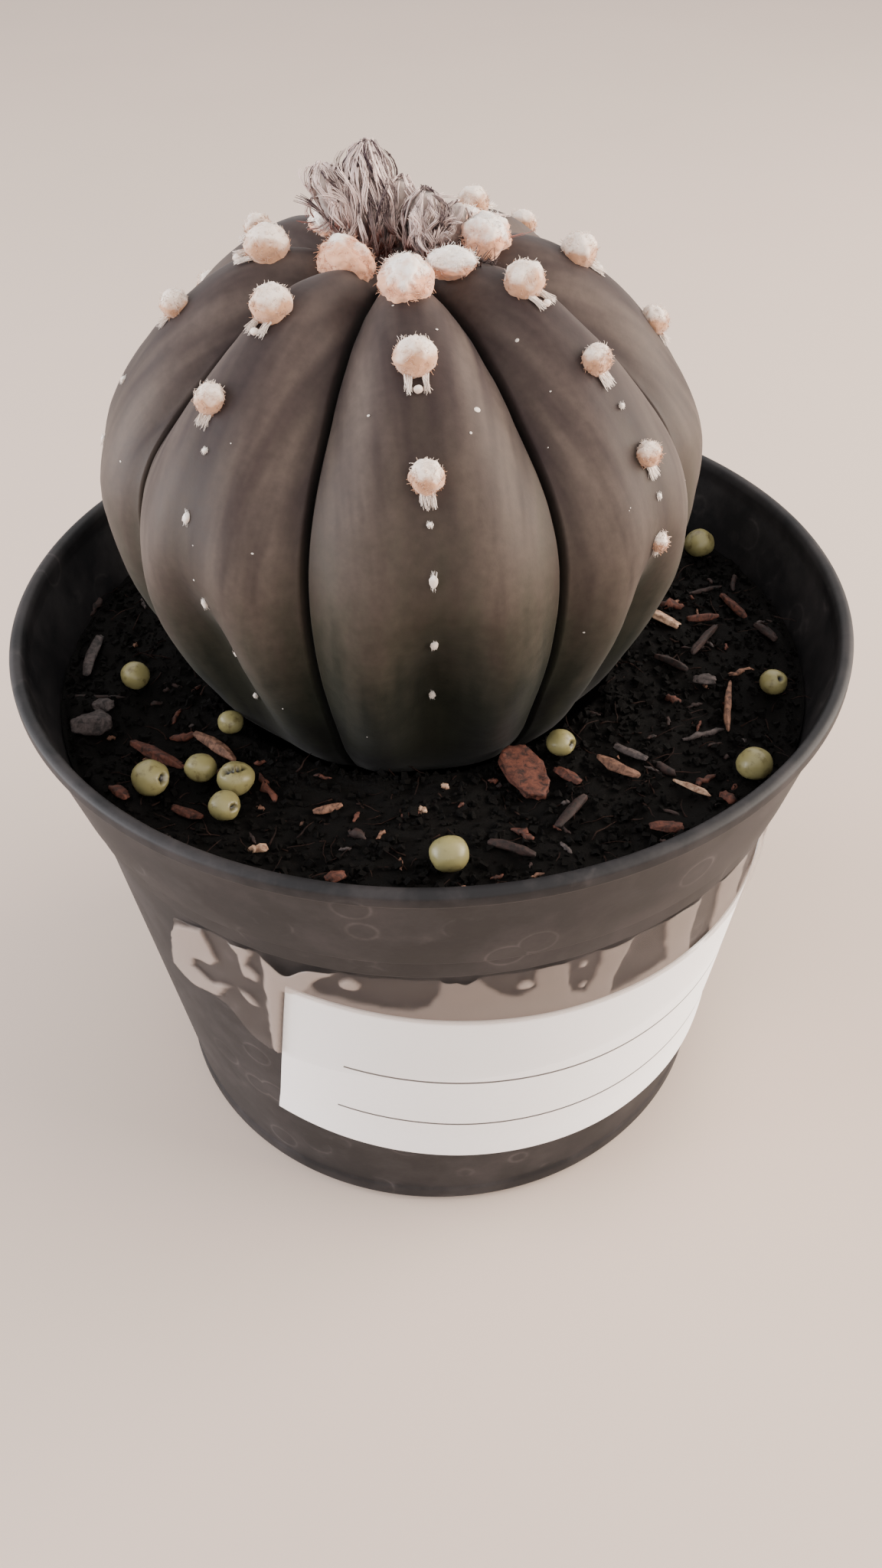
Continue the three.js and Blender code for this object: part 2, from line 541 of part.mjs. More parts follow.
function chip([fromX, fromY, toX, toY, width, thickness], random) {
  const length = Math.hypot(toX - fromX, toY - fromY);
  const sides = 4;
  const bow = (random() - 0.5) * 0.12 * length;
  const rings = [0.04, 0.35, 0.7, 0.96].map((share) => {
    const fullness = (share < 0.1 || share > 0.9 ? 0.55 : 1) * (0.85 + 0.3 * random());
    return Array.from({ length: sides }, (_, i) => {
      const turn = ((i + 0.4 * random()) / sides) * Math.PI * 2;
      const bend = bow * Math.sin(share * Math.PI);
      return new THREE.Vector3((share - 0.5) * length, bend + (width / 2) * fullness * Math.sin(turn),
        -(thickness / 2) * fullness * Math.cos(turn));
    });
  });
  const ends = [-0.5, 0.5].map((share) => [new THREE.Vector3(share * length, 0, 0)]);
  const geometry = ringBody([ends[0], ...rings, ends[1]]);
  geometry.rotateZ(Math.atan2(toY - fromY, toX - fromX));
  return geometry.translate((fromX + toX) / 2, (fromY + toY) / 2, SOIL_LEVEL);
}

function flake() {
  const outline = new THREE.Shape(FLAKE_OUTLINE.map(([x, y]) => new THREE.Vector2(x, y)));
  const plate = new THREE.ExtrudeGeometry(outline, { depth: FLAKE.thickness, bevelEnabled: false });
  plate.rotateY(radians(FLAKE.tip)).rotateZ(radians(FLAKE.yaw));
  plate.translate(FLAKE.x, FLAKE.y, SOIL_LEVEL);
  return toGeometry(toSolid(plate));
}

function loosePieces(ground) {
  const random = seededRandom(7);
  const placed = [];
  const lay = (mesh) => placed.push(settle(mesh, [ground, ...placed]));
  const number = (i) => String(i + 1).padStart(2, '0');
  PRILLS.forEach(([x, y, radius], i) => {
    const bead = blob(roundForm(), [radius, radius, radius * 0.88], 0.08, random).translate(x, y, SOIL_LEVEL);
    lay(named(`prill_${number(i)}`, bead, PRILL_RESIN));
  });
  lay(named('bark_flake', flake(), finish(BARK_COLOURS.red, 0.85)));
  CHIPS.forEach((row, i) => {
    lay(named(`bark_chip_${number(i)}`, chip(row, random), finish(BARK_COLOURS[row[6]], 0.85)));
  });
  return placed;
}

// ---------------------------------------------------------------------------------------------
// Label and tape: thin sheets rolled onto the tapered wall
// ---------------------------------------------------------------------------------------------

const WALL_LEAN = Math.sin(Math.atan(WALL_SLOPE));
const wallRadius = (z) => WALL_FOOT_RADIUS + WALL_SLOPE * (z - WALL_FOOT_Z);
const APEX_TO_LABEL = wallRadius(LABEL_Z) / WALL_LEAN; // along the wall, from the tip of its cone

function wallPoint(azimuth, z, stand) {
  const out = wallRadius(z) + stand;
  return new THREE.Vector3(out * Math.cos(azimuth), out * Math.sin(azimuth), z);
}

// Rolls a point of the flat label onto the wall. x runs round the pot and y up the wall.
function fromLabel(x, y) {
  const tilt = radians(LABEL_TILT);
  const run = x * Math.cos(tilt) - y * Math.sin(tilt);
  const rise = APEX_TO_LABEL + x * Math.sin(tilt) + y * Math.cos(tilt);
  const z = WALL_FOOT_Z + (Math.hypot(run, rise) * WALL_LEAN - WALL_FOOT_RADIUS) / WALL_SLOPE;
  return [radians(LABEL_AZIMUTH) + Math.atan2(run, rise) / WALL_LEAN, z];
}

// The way back: where on the flat label a point of the wall lies.
function toLabel(azimuth, z) {
  const tilt = radians(LABEL_TILT);
  const turn = (azimuth - radians(LABEL_AZIMUTH)) * WALL_LEAN;
  const reach = wallRadius(z) / WALL_LEAN;
  const [run, rise] = [reach * Math.sin(turn), reach * Math.cos(turn) - APEX_TO_LABEL];
  return [run * Math.cos(tilt) + rise * Math.sin(tilt), rise * Math.cos(tilt) - run * Math.sin(tilt)];
}

// A closed thin sheet on the wall from a grid of columns and rows. place gives the bearing and
// the height of a point of the grid, and stand gives how far it lies off the wall.
function sheet(columns, rows, place, stand) {
  const rings = [];
  for (let i = 0; i <= columns; i += 1) {
    const front = [];
    const back = [];
    for (let j = 0; j <= rows; j += 1) {
      const [azimuth, z] = place(i / columns, j / rows);
      const off = stand(azimuth, z);
      back.push(wallPoint(azimuth, z, off));
      front.unshift(wallPoint(azimuth, z, off + SHEET_THICKNESS));
    }
    rings.push([...back, ...front]);
  }
  const middle = (ring) => [ring.reduce((sum, p) => sum.add(p), new THREE.Vector3()).divideScalar(ring.length)];
  return ringBody([middle(rings[0]), ...rings, middle(rings[rings.length - 1])]);
}

function label() {
  const place = (across, up) => fromLabel(LABEL_LEFT + LABEL_WIDTH * across, LABEL_HEIGHT * (up - 0.5));
  return named('label', sheet(20, 2, place, () => SHEET_GAP), LABEL_PAPER);
}

// The tape lies on the wall beside the label and over the label's upper part.
function tape() {
  const place = (across, up) => {
    const azimuth = lerp(TAPE_FROM_AZIMUTH, TAPE_TO_AZIMUTH, across);
    const cutSlant = 5 * up * (1 - smoothstep(across, 0, 0.1));
    return [radians(azimuth + cutSlant), lerp(TAPE_BOTTOM_Z, TAPE_TOP_Z, up)];
  };
  const overLabel = SHEET_GAP + SHEET_THICKNESS + SHEET_GAP;
  const stand = (azimuth, z) => {
    const [x, y] = toLabel(azimuth, z);
    const besideLabel = smoothstep(x, LABEL_LEFT - 4, LABEL_LEFT - 1)
      * (1 - smoothstep(x, LABEL_LEFT + LABEL_WIDTH + 1, LABEL_LEFT + LABEL_WIDTH + 4));
    const aboveLabel = 1 - smoothstep(y, LABEL_HEIGHT / 2 + 1, LABEL_HEIGHT / 2 + 4);
    return lerp(SHEET_GAP, overLabel, besideLabel * aboveLabel);
  };
  return named('tape', sheet(28, 4, place, stand), CLEAR_TAPE);
}

// ---------------------------------------------------------------------------------------------
// Assembly
// ---------------------------------------------------------------------------------------------

const group = new THREE.Group();
const plant = stem();
const mix = soil();
group.add(pot(), mix, plant);
const tallBud = bud('flower_bud_tall', TALL_BUD, [plant]);
group.add(tallBud, bud('flower_bud_short', SHORT_BUD, [plant]));
group.add(...loosePieces(mix));
group.add(label(), tape());

export default group;
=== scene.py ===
"""Looks of a star cactus in a round nursery pot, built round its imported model.

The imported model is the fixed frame, in metres with +Z up, and the origin is the middle of the
pot's foot. Tables here are in millimetres and are turned to metres when a mesh is made.
"""

import functools
import math

import bmesh
import bpy
import numpy as np
from bpy.props import FloatProperty, FloatVectorProperty, IntProperty, PointerProperty
from mathutils import Matrix, Vector, noise
from mathutils.bvhtree import BVHTree


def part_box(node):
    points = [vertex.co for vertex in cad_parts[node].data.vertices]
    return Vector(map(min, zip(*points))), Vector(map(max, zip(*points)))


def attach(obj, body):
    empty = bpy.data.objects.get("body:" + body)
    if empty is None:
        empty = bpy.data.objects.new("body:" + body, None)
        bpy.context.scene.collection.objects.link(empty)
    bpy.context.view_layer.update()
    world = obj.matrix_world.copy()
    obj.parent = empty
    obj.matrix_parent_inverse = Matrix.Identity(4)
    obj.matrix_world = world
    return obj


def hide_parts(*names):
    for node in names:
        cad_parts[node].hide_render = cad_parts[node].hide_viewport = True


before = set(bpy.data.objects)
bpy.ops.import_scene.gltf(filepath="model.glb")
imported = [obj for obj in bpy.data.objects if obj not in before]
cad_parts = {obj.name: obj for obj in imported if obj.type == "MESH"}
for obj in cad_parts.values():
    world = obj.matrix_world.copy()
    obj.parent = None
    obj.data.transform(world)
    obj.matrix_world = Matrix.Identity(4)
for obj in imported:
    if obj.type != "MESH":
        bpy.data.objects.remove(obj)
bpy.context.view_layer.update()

bl_info = {
    "name": "Potted star cactus",
    "version": (1, 0, 0),
    "blender": (4, 5, 0),
    "location": "3D View > Sidebar > Star cactus",
    "description": "Builds a potted star cactus, piece by piece, round its packed model",
    "category": "Add Mesh",
}

MM = 0.001
BODY = "root"
SEEDS = {"mix": 5, "flecks": 17, "bloom": 61, "balls": 11, "dots": 13, "foot": 23, "bits": 29}

# --- Measures in millimetres ---

POT_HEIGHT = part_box("pot")[1][2] / MM
RIM_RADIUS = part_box("pot")[1][0] / MM
LIP_WIDTH = 1.5
BAND_TOP_RADIUS, BAND_TOP_Z = 44.45, 65.2
BAND_FOOT_RADIUS, BAND_FOOT_Z = 41.95, 55
WALL_TOP_RADIUS, WALL_TOP_Z = 40.5, 51.2
WALL_FOOT_RADIUS, WALL_FOOT_Z = 34.95, 3.2
WALL_THICKNESS = 1.05
FOOT_RADIUS = 35.15
FOOT_RING_INNER_RADIUS = 31.9
FLOOR_UNDERSIDE_Z, FLOOR_TOP_Z = 1.6, 2.6
DRAIN_HOLE_COUNT, DRAIN_HOLE_RADIUS, DRAIN_CIRCLE_RADIUS = 6, 3.2, 22
DRILL_LENGTH = 6
SHARP_EDGE = math.radians(40)  # the pot's and the label's edges stay crisp above this angle
WALL_SLOPE = (WALL_TOP_RADIUS - WALL_FOOT_RADIUS) / (WALL_TOP_Z - WALL_FOOT_Z)

SOIL_LEVEL = 58.5
STEM_X, STEM_Y = -2.5, 3.0

# Three lines of the stem from the crown down to the root, as [distance from its axis, height].
# A rib has its crest in the middle, a flank on each side, and a furrow at each edge.
CREST = [
    (0, 100.3), (4, 102), (8, 103.3), (12, 103.2), (16.2, 101.6), (20.4, 98.7), (24, 95.2),
    (27, 91.4), (29.2, 87.2), (30, 83), (28.9, 79.2), (27, 75.3), (25.5, 71), (23.9, 65.3),
    (21.7, 58.5), (17.5, 53.6), (10, 50), (5.2, 45), (2.6, 39), (0, 35),
]
FLANK = [
    (0, 100.3), (4.1, 101.5), (7.9, 102.5), (11.7, 102.4), (15.7, 100.9), (19.8, 98.1),
    (23.5, 94.9), (26.7, 91.2), (29.2, 87), (30.4, 82.8), (30.4, 78.6), (29.6, 74), (27.8, 69),
    (25.3, 63.8), (22.3, 58.5), (17.5, 53.6), (10, 50), (5.2, 45), (2.6, 39), (0, 35),
]
FURROW = [
    (0, 100.3), (3.8, 100.4), (6.8, 100.7), (9.9, 100.8), (13.4, 99.8), (17.2, 97.6),
    (20.6, 94.9), (23.8, 92.1), (26.4, 89), (28.1, 85.4), (28.7, 81), (28.3, 76.2),
    (27.2, 71.3), (25.2, 65.3), (22.4, 58.8), (17.5, 53.6), (10, 50), (5.2, 45), (2.6, 39),
    (0, 35),
]
SOIL_STATION = 14
FURROW_DEPTH, FURROW_HALF_WIDTH = 2.3, 0.46
SHOULDER_ROUNDING, SHOULDER_START = 0.55, 0.72

# The ribs: the bearing in degrees of each crest and of the furrow before it, and its wool balls and
# small tufts, as [station, across the rib, half size].
RIBS = [
    {"crest": -84.3, "edge": -107.5, "balls": ((4.45, 0, 1.93), (6.45, 0, 1.5)),
     "dots": ((7.25, 0, 0.35), (8.27, 0, 0.95), (10.1, 0, 0.85), (12.1, 0, 0.75))},
    {"crest": -37, "edge": -58.7,
     "balls": ((3.5, 0, 1.93), (5.35, 0, 1.5), (7.25, 0, 1.28), (9.1, -0.05, 0.9)),
     "dots": ((6.25, 0, 0.4), (8.1, 0, 0.5), (11.1, -0.2, 0.6), (12.65, -0.2, 0.5))},
    {"crest": 6, "edge": -15.5, "balls": ((4.2, 0, 1.9), (6.3, 0, 1.5)),
     "dots": ((8.2, 0, 0.7), (9.9, 0, 0.7), (11.6, 0, 0.6))},
    {"crest": 51, "edge": 28.5, "balls": ((3, 0, 1.6), (4.95, 0, 1.5), (6.7, 0, 1.3)),
     "dots": ((8, 0, 0.7), (9.6, 0, 0.8), (11.4, 0, 0.6))},
    {"crest": 96, "edge": 73.5, "balls": ((3.9, 0, 1.9), (5.7, 0, 1.5)),
     "dots": ((7, 0, 0.5), (8.6, 0, 0.8), (10.9, 0, 0.7), (12.6, 0, 0.6))},
    {"crest": 141, "edge": 118.5, "balls": ((4.3, 0, 1.4), (6.5, 0, 1.4)),
     "dots": ((7.9, 0, 0.6), (9.7, 0, 0.8), (12, 0, 0.6))},
    {"crest": 186, "edge": 163.5, "balls": ((2.88, 0, 2.1), (5, 0, 1.5)),
     "dots": ((6.85, 0, 0.6), (8.3, 0, 0.7), (9.6, 0, 0.6), (11.3, 0, 0.6))},
    {"crest": 230, "edge": 208, "balls": ((3.75, -0.11, 1.93), (5.64, -0.155, 1.45)),
     "dots": ((6.5, 0, 0.4), (7.75, 0, 0.85), (9.6, 0.15, 0.8), (11.75, 0.05, 0.6), (13, 0, 0.5))},
]
BALL_RISE = 0.28  # of its half size, above the skin
CUSHION_STATION = 2.05  # where the crown's cushions take their slope from

# Wool cushions of the crown, one a rib, as [x, y, half width across the rib, half length, height,
# shift of its colour towards the warm underside colour, as painted shade].
CUSHIONS = [
    (-1.4, -6.45, 2.4, 3.65, 2.25, 0.2), (2.65, -2.1, 2, 2.5, 1.35, -0.3),
    (5.9, 3.3, 2.5, 2.3, 2.1, 0), (4.2, 8, 1.7, 1.6, 1.1, 0.3),
    (-3.4, 11.2, 2.4, 2, 1.4, 0.2), (-8.6, 8.2, 2.1, 1.9, 1.3, -0.4),
    (-7.2, 5.2, 1.5, 1.4, 0.7, -0.2), (-6.9, 0.15, 3.05, 2.1, 2.25, 0.6),
]
# A spot of dark hairs between the cushions, where an old bloom has dried.
DRIED_BLOOM = (5.6, -0.9)
DRIED_HAIRS = 130

# How much lower down than on the front rib the skin turns green, rib by rib, in stations.
GREEN_DELAY = (0, 1.5, 1.2, 0.6, 0.8, 0.5, 1.2, 1.5)

# Pale flecks on the skin, as [rib, station, across the rib, radius].
FLECKS = [
    (0, 5.4, 0.52, 0.26), (0, 5.75, 0.4, 0.12), (1, 4.4, -0.62, 0.16), (7, 4.9, 0.66, 0.1),
    (0, 5.35, -0.5, 0.11), (0, 6.9, -0.36, 0.1), (1, 10.9, -0.8, 0.12), (7, 8.2, 0.1, 0.09),
]
SMALL_FLECKS = 46

# The label and the tape on the pot's wall.
LABEL_WIDTH, LABEL_HEIGHT = 70, 29.7
LABEL_LEFT = -23.4
LABEL_AZIMUTH, LABEL_Z, LABEL_TILT = -81.6, 27.55, -7.3
PAPER_THICKNESS = 0.16
SHEET_GAP = 0.25
TAPE_FROM_AZIMUTH, TAPE_TO_AZIMUTH = -139.5, -8
TAPE_BOTTOM_Z, TAPE_TOP_Z = 31.4, 50.6
TAPE_THICKNESS = 0.1
# Dips of the tape's upper edge, as [bearing, depth, width in degrees].
TAPE_DIPS = [(-135, 2.6, 7), (-111.4, 2.2, 2.6), (-88.6, 0.6, 1.1), (-86.4, 0.8, 1)]


# --- Colour and node helpers ---

def linear(hex_colour):
    """Turns an sRGB hex colour to linear values."""
    channels = [int(hex_colour[i:i + 2], 16) / 255 for i in (0, 2, 4)]
    return tuple(c / 12.92 if c <= 0.04045 else ((c + 0.055) / 1.055) ** 2.4 for c in channels)


def opaque(colour):
    """A colour, or a number for a grey, as four channels."""
    channels = [colour] * 3 if isinstance(colour, (int, float)) else colour[:3]
    return (*channels, 1.0)


def add_node(tree, kind, *values, stops=(), **named):
    """Adds a node. values go to its inputs in use, in order. A name with a capital is an input,
    with _ for a space, and any other is a setting. A node as a value is linked by its first
    output in use. stops are the places and colours of a ramp."""
    node = tree.nodes.new(f"ShaderNode{kind}")
    inputs = {}
    for name, value in named.items():
        if name[0].isupper():
            inputs[node.inputs[name.replace("_", " ")]] = value
        else:
            setattr(node, name, value)
    inputs.update(zip([socket for socket in node.inputs if socket.enabled], values))
    for socket, value in inputs.items():
        if isinstance(value, bpy.types.Node):
            value = next(output for output in value.outputs if output.enabled)
        if isinstance(value, bpy.types.NodeSocket):
            tree.links.new(value, socket)
        else:
            socket.default_value = opaque(value) if socket.type == "RGBA" else value
    if stops:
        ramp = node.color_ramp.elements
        while len(ramp) < len(stops):
            ramp.new(0.5)
        for element, (place, colour) in zip(ramp, stops):
            element.position = place
            element.color = opaque(colour)
    return node


def new_material(name):
    """Starts a material. Gives a function that adds a node, and one that adds the shader."""
    material = bpy.data.materials.new(name)
    material.use_nodes = True
    material.node_tree.nodes.clear()
    node = functools.partial(add_node, material.node_tree)

    def finish(**sockets):
        node("OutputMaterial", Surface=node("BsdfPrincipled", **sockets))
        return material

    return node, finish


# --- Mesh helpers ---

def unit(vectors):
    """The vectors, each made 1 long."""
    return vectors / np.maximum(np.linalg.norm(vectors, axis=-1, keepdims=True), 1e-9)


def lumps(points, size, seed=0):
    """Smooth noise from -1 to 1 at each point, with lumps of the given size."""
    shift = Vector((seed * 7.31, seed * 3.77, seed * 5.13))
    return np.array([noise.noise(Vector(point) / size + shift) for point in points])


def new_object(name, data):
    """Puts an object with this data in the scene."""
    thing = bpy.data.objects.new(name, data)
    bpy.context.scene.collection.objects.link(thing)
    return thing


def new_piece(name, points, faces, material, slot, node=None, values=None, smooth=True):
    """Makes a piece from points in millimetres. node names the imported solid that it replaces."""
    mesh = bpy.data.meshes.new(name)
    mesh.from_pydata((np.asarray(points) * MM).tolist(), [], [list(face) for face in faces])
    mesh.validate()
    for label, data in (values or {}).items():
        data = np.asarray(data, dtype=np.float32)
        kind, field = ("FLOAT", "value") if data.ndim == 1 else ("FLOAT_VECTOR", "vector")
        layer = mesh.attributes.new(label, kind, "POINT")
        layer.data.foreach_set(field, data.ravel())
    mesh.materials.append(material)
    mesh.polygons.foreach_set("use_smooth", [smooth] * len(mesh.polygons))
    piece = new_object(name, mesh)
    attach(piece, BODY)
    if node:
        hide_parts(node)
    return piece


def grid_faces(rows, columns, start=0, wrap=False):
    """Quads over a grid of points set out row by row. wrap joins the last column to the first."""
    span = columns if wrap else columns - 1
    row, column = np.meshgrid(np.arange(rows - 1), np.arange(span), indexing="ij")
    row, column = row.ravel(), column.ravel()
    after = (column + 1) % columns
    quads = np.stack([row * columns + column, row * columns + after,
                      (row + 1) * columns + after, (row + 1) * columns + column], axis=1)
    return (quads + start).tolist()


def lathe(profile, segments):
    """Points and faces of a profile of [radius, z] turned about the upright axis, closed."""
    turns = np.linspace(0, 2 * math.pi, segments, endpoint=False)
    radius, z = np.array(profile, dtype=float).T
    points = np.stack([np.outer(radius, np.cos(turns)), np.outer(radius, np.sin(turns)),
                       np.repeat(z[:, None], segments, axis=1)], axis=-1).reshape(-1, 3)
    return points, grid_faces(len(profile), segments, wrap=True)


STRAND_SIDES = 3


def strands(paths, radii, sides=STRAND_SIDES):
    """Thin closed tubes along paths of shape (count, steps, 3), with a radius at each step."""
    count, steps, _ = paths.shape
    tangents = unit(np.gradient(paths, axis=1))
    helper = np.where(np.abs(tangents[..., 2:3]) > 0.9, [[[1.0, 0, 0]]], [[[0, 0, 1.0]]])
    side = unit(np.cross(tangents, helper))
    other = np.cross(side, tangents)
    turns = np.arange(sides) / sides * 2 * math.pi
    ring = np.cos(turns)[:, None] * side[:, :, None] + np.sin(turns)[:, None] * other[:, :, None]
    points = paths[:, :, None, :] + ring * radii[:, :, None, None]
    tube = np.array(grid_faces(steps, sides, wrap=True))
    starts = np.arange(count) * steps * sides
    quads = (tube[None] + starts[:, None, None]).reshape(-1, 4).tolist()
    root = np.arange(sides)[::-1]
    tip = (steps - 1) * sides + np.arange(sides)
    caps = np.concatenate([root[None] + starts[:, None], tip[None] + starts[:, None]]).tolist()
    return points.reshape(-1, 3), quads + caps


def per_strand(values, steps):
    """Repeats a value for each strand on all its points."""
    return np.repeat(values, steps * STRAND_SIDES)


def along_strands(count, steps):
    """How far along its strand each point lies, from 0 at the root to 1 at the tip."""
    return np.tile(np.repeat(np.linspace(0, 1, steps), STRAND_SIDES), count)


def grown_paths(roots, headings, lengths, steps, draw, wander):
    """Paths that grow from roots and wander a little at each step."""
    paths = [roots]
    heading = unit(headings)
    for _ in range(steps - 1):
        heading = unit(heading + wander * draw.normal(size=heading.shape))
        paths.append(paths[-1] + heading * (lengths / (steps - 1))[:, None])
    return np.stack(paths, axis=1)


def grown_hairs(roots, headings, lengths, steps, draw, wander, taper, radius, spread):
    """Hairs that wander as they grow. taper is from root to tip, and spread from hair to hair."""
    paths = grown_paths(roots, headings, lengths, steps, draw, wander)
    shares = draw.uniform(*spread, len(roots))
    return strands(paths, np.linspace(*taper, steps)[None] * radius * shares[:, None])


def icosphere(levels):
    """Points and faces of a ball of radius 1."""
    ball = bmesh.new()
    bmesh.ops.create_icosphere(ball, subdivisions=levels, radius=1)
    points = np.array([vertex.co[:] for vertex in ball.verts])
    faces = [[vertex.index for vertex in face.verts] for face in ball.faces]
    ball.free()
    return points, faces


class Batch:
    """Collects the points and faces of many small forms that make one piece."""

    def __init__(self):
        self.points, self.faces, self.count, self.values = [], [], 0, {}

    def add(self, points, faces, **values):
        self.faces += [[corner + self.count for corner in face] for face in faces]
        self.points.append(points)
        self.count += len(points)
        for label, data in values.items():
            self.values.setdefault(label, []).append(np.broadcast_to(data, (len(points),)))

    def piece(self, name, material, slot, node=None, smooth=True):
        values = {label: np.concatenate(data) for label, data in self.values.items()}
        points = np.concatenate(self.points)
        return new_piece(name, points, self.faces, material, slot, node, values, smooth)


# --- The stem's form ---

def on_line(points, station):
    """A place on the smooth line through points. Whole stations are the points themselves."""
    last = len(points) - 1
    station = min(max(station, 0), last)
    start = min(int(station), last - 1)
    share = station - start
    p1, p2 = np.array(points[start], float), np.array(points[start + 1], float)
    p0 = np.array(points[start - 1], float) if start > 0 else 2 * p1 - p2
    p3 = np.array(points[start + 2], float) if start + 2 <= last else 2 * p2 - p1
    d0, d1, d2 = (math.sqrt(np.linalg.norm(b - a)) for a, b in ((p0, p1), (p1, p2), (p2, p3)))
    slope1 = d1 * ((p1 - p0) / d0 - (p2 - p0) / (d0 + d1) + (p2 - p1) / d1)
    slope2 = d1 * ((p2 - p1) / d1 - (p3 - p1) / (d1 + d2) + (p3 - p2) / d2)
    curve = (p1, slope1, 3 * (p2 - p1) - 2 * slope1 - slope2, 2 * (p1 - p2) + slope1 + slope2)
    return sum(term * share ** power for power, term in enumerate(curve))


def smoothstep(value, low, high):
    """0 below low, 1 above high, and a smooth rise between them."""
    share = np.clip((value - low) / (high - low), 0, 1)
    return share * share * (3 - 2 * share)


@functools.lru_cache(maxsize=None)
def level(station):
    """The stem's three lines at a station, and the furrow's downward direction there."""
    ahead = on_line(FURROW, station + 0.3) - on_line(FURROW, station - 0.3)
    lines = [on_line(line, station) for line in (CREST, FLANK, FURROW)]
    return (*lines, ahead / np.linalg.norm(ahead))


def furrow_lip(radius):
    """Where a rib's side starts to turn into its furrow, as a share of half a rib."""
    return 1 - FURROW_HALF_WIDTH / (math.pi / len(RIBS) * max(radius, 6))


def skin_points(station, rib, across):
    """Points of the skin. across runs from -1 in the furrow before a rib to 1 in the one after."""
    across = np.atleast_1d(np.asarray(across, dtype=float))
    crest, flank, furrow, ahead = level(round(float(station), 4))
    half = (crest + furrow) / 2
    once, twice = np.cos(math.pi * across), np.cos(2 * math.pi * across)
    place = ((half + flank) / 2)[:, None] + ((crest - furrow) / 2)[:, None] * once
    place = place + ((half - flank) / 2)[:, None] * twice
    fade = smoothstep(station, 0.6, 2.2) * (1 - smoothstep(station, SOIL_STATION, SOIL_STATION + 1))
    edge = np.abs(across)
    shoulder = smoothstep(edge, SHOULDER_START, 1) * SHOULDER_ROUNDING
    lip = furrow_lip(furrow[0])
    slit = np.clip((edge - lip) / (1 - lip), 0, 1) ** 1.5 * FURROW_DEPTH
    inset = (shoulder + slit) * fade
    radius, z = place[0] + ahead[1] * inset, place[1] - ahead[0] * inset
    bearing, before = RIBS[rib]["crest"], RIBS[rib]["edge"]
    after = RIBS[rib + 1]["edge"] if rib + 1 < len(RIBS) else RIBS[0]["edge"] + 360
    turn = np.radians(np.where(across < 0, bearing + (bearing - before) * across,
                               bearing + (after - bearing) * across))
    return np.stack([STEM_X + radius * np.cos(turn), STEM_Y + radius * np.sin(turn), z], axis=-1)


def skin_frame(station, rib, across=0.0):
    """A place on the skin, and its directions as rows: across the rib, down along it, outward."""
    step = 0.05

    def spot(down, beside):
        return skin_points(station + down, rib, across + beside)[0]

    along = unit(spot(step, 0) - spot(-step, 0))
    side = unit(spot(0, step) - spot(0, -step))
    outward = unit(np.cross(along, side))
    return spot(0, 0), np.stack([np.cross(outward, along), along, outward])


# --- Settings that a user would change ---

def colour_setting(name, description, hex_colour):
    """A colour that the user can change."""
    return FloatVectorProperty(name=name, description=description, subtype="COLOR", size=3,
                               min=0, max=1, default=linear(hex_colour))


def length_setting(name, description, millimetres):
    """A length that the user can change."""
    return FloatProperty(name=name, description=description, unit="LENGTH", subtype="DISTANCE",
                         min=0, default=millimetres * MM, precision=5)


class PotSettings(bpy.types.PropertyGroup):
    plastic: colour_setting("Plastic", "Colour of the pot's moulded plastic", "19181a")
    dust: colour_setting("Dust", "Colour of the dried water marks on the plastic", "565050")
    rim_rounding: length_setting("Rim rounding", "Radius of the pot's rolled lip", 0.45)


class MixSettings(bpy.types.PropertyGroup):
    # The damp mix's own dark colour, darkened further as painted shade inside the pot.
    peat: colour_setting("Peat", "Colour of the damp potting mix", "060504")
    crumb_size: length_setting("Crumb size", "Usual size of a crumb of the potting mix", 0.65)
    crumb_count: IntProperty(name="Crumbs", description="How many crumbs lie on the mix",
                             default=6500, min=0, max=9000)


class StemSettings(bpy.types.PropertyGroup):
    top: colour_setting("Upper skin", "Colour of the skin near the crown", "291f20")
    middle: colour_setting("Middle skin", "Colour of the skin halfway down the ribs", "332b25")
    # The lower skin is dark green, deepened with painted shade near the soil.
    low: colour_setting("Lower skin", "Colour of the skin near the soil", "1d1e16")
    # Partly the wax's bloom and partly a painted sheen on the ribs' flanks.
    bloom: colour_setting("Bloom", "Colour of the waxy bloom on the ribs' sides", "74665e")


class WoolSettings(bpy.types.PropertyGroup):
    # Real wool is finer and denser. These fibres are as thick as they need to be to show.
    # The light and underside colours paint light on the wool's top and shade beneath it.
    light: colour_setting("Crown wool", "Colour of the crown's wool in the light", "fbf1e9")
    shade: colour_setting("Crown wool underside", "Colour of the crown's wool underneath", "dfa583")
    # Ball colours: painted light on top, painted shade below.
    ball_light: colour_setting("Ball wool", "Colour of the wool balls on top", "f3e1d3")
    ball_shade: colour_setting("Ball wool underside", "Colour of the wool balls below", "bd8d6c")
    fibre: length_setting("Fibre", "Radius of a fibre of wool", 0.03)
    crown_fibres: IntProperty(name="Crown fibres", description="Fibres on a cushion of the crown",
                              default=600, min=0, max=950)
    ball_fibres: IntProperty(name="Ball fibres", description="Fibres on a wool ball",
                             default=300, min=0, max=500)


class BudSettings(bpy.types.PropertyGroup):
    # Real hairs are finer and denser. These are as thick as they need to be to show.
    wool: colour_setting("Bud wool", "Colour of the pale hairs", "f0d9d2")
    tip: colour_setting("Dark hairs", "Colour of the dark hairs", "35242a")
    base: colour_setting("Hair roots", "Colour of the hairs at the foot of the buds", "94594c")
    hair: length_setting("Hair", "Radius of a hair at its root", 0.085)


class LooseSettings(bpy.types.PropertyGroup):
    resin: colour_setting("Resin", "Colour of the fertiliser's resin coat", "8d8559")
    stain: colour_setting("Resin stain", "Colour of the stains on the resin coat", "4d3d22")


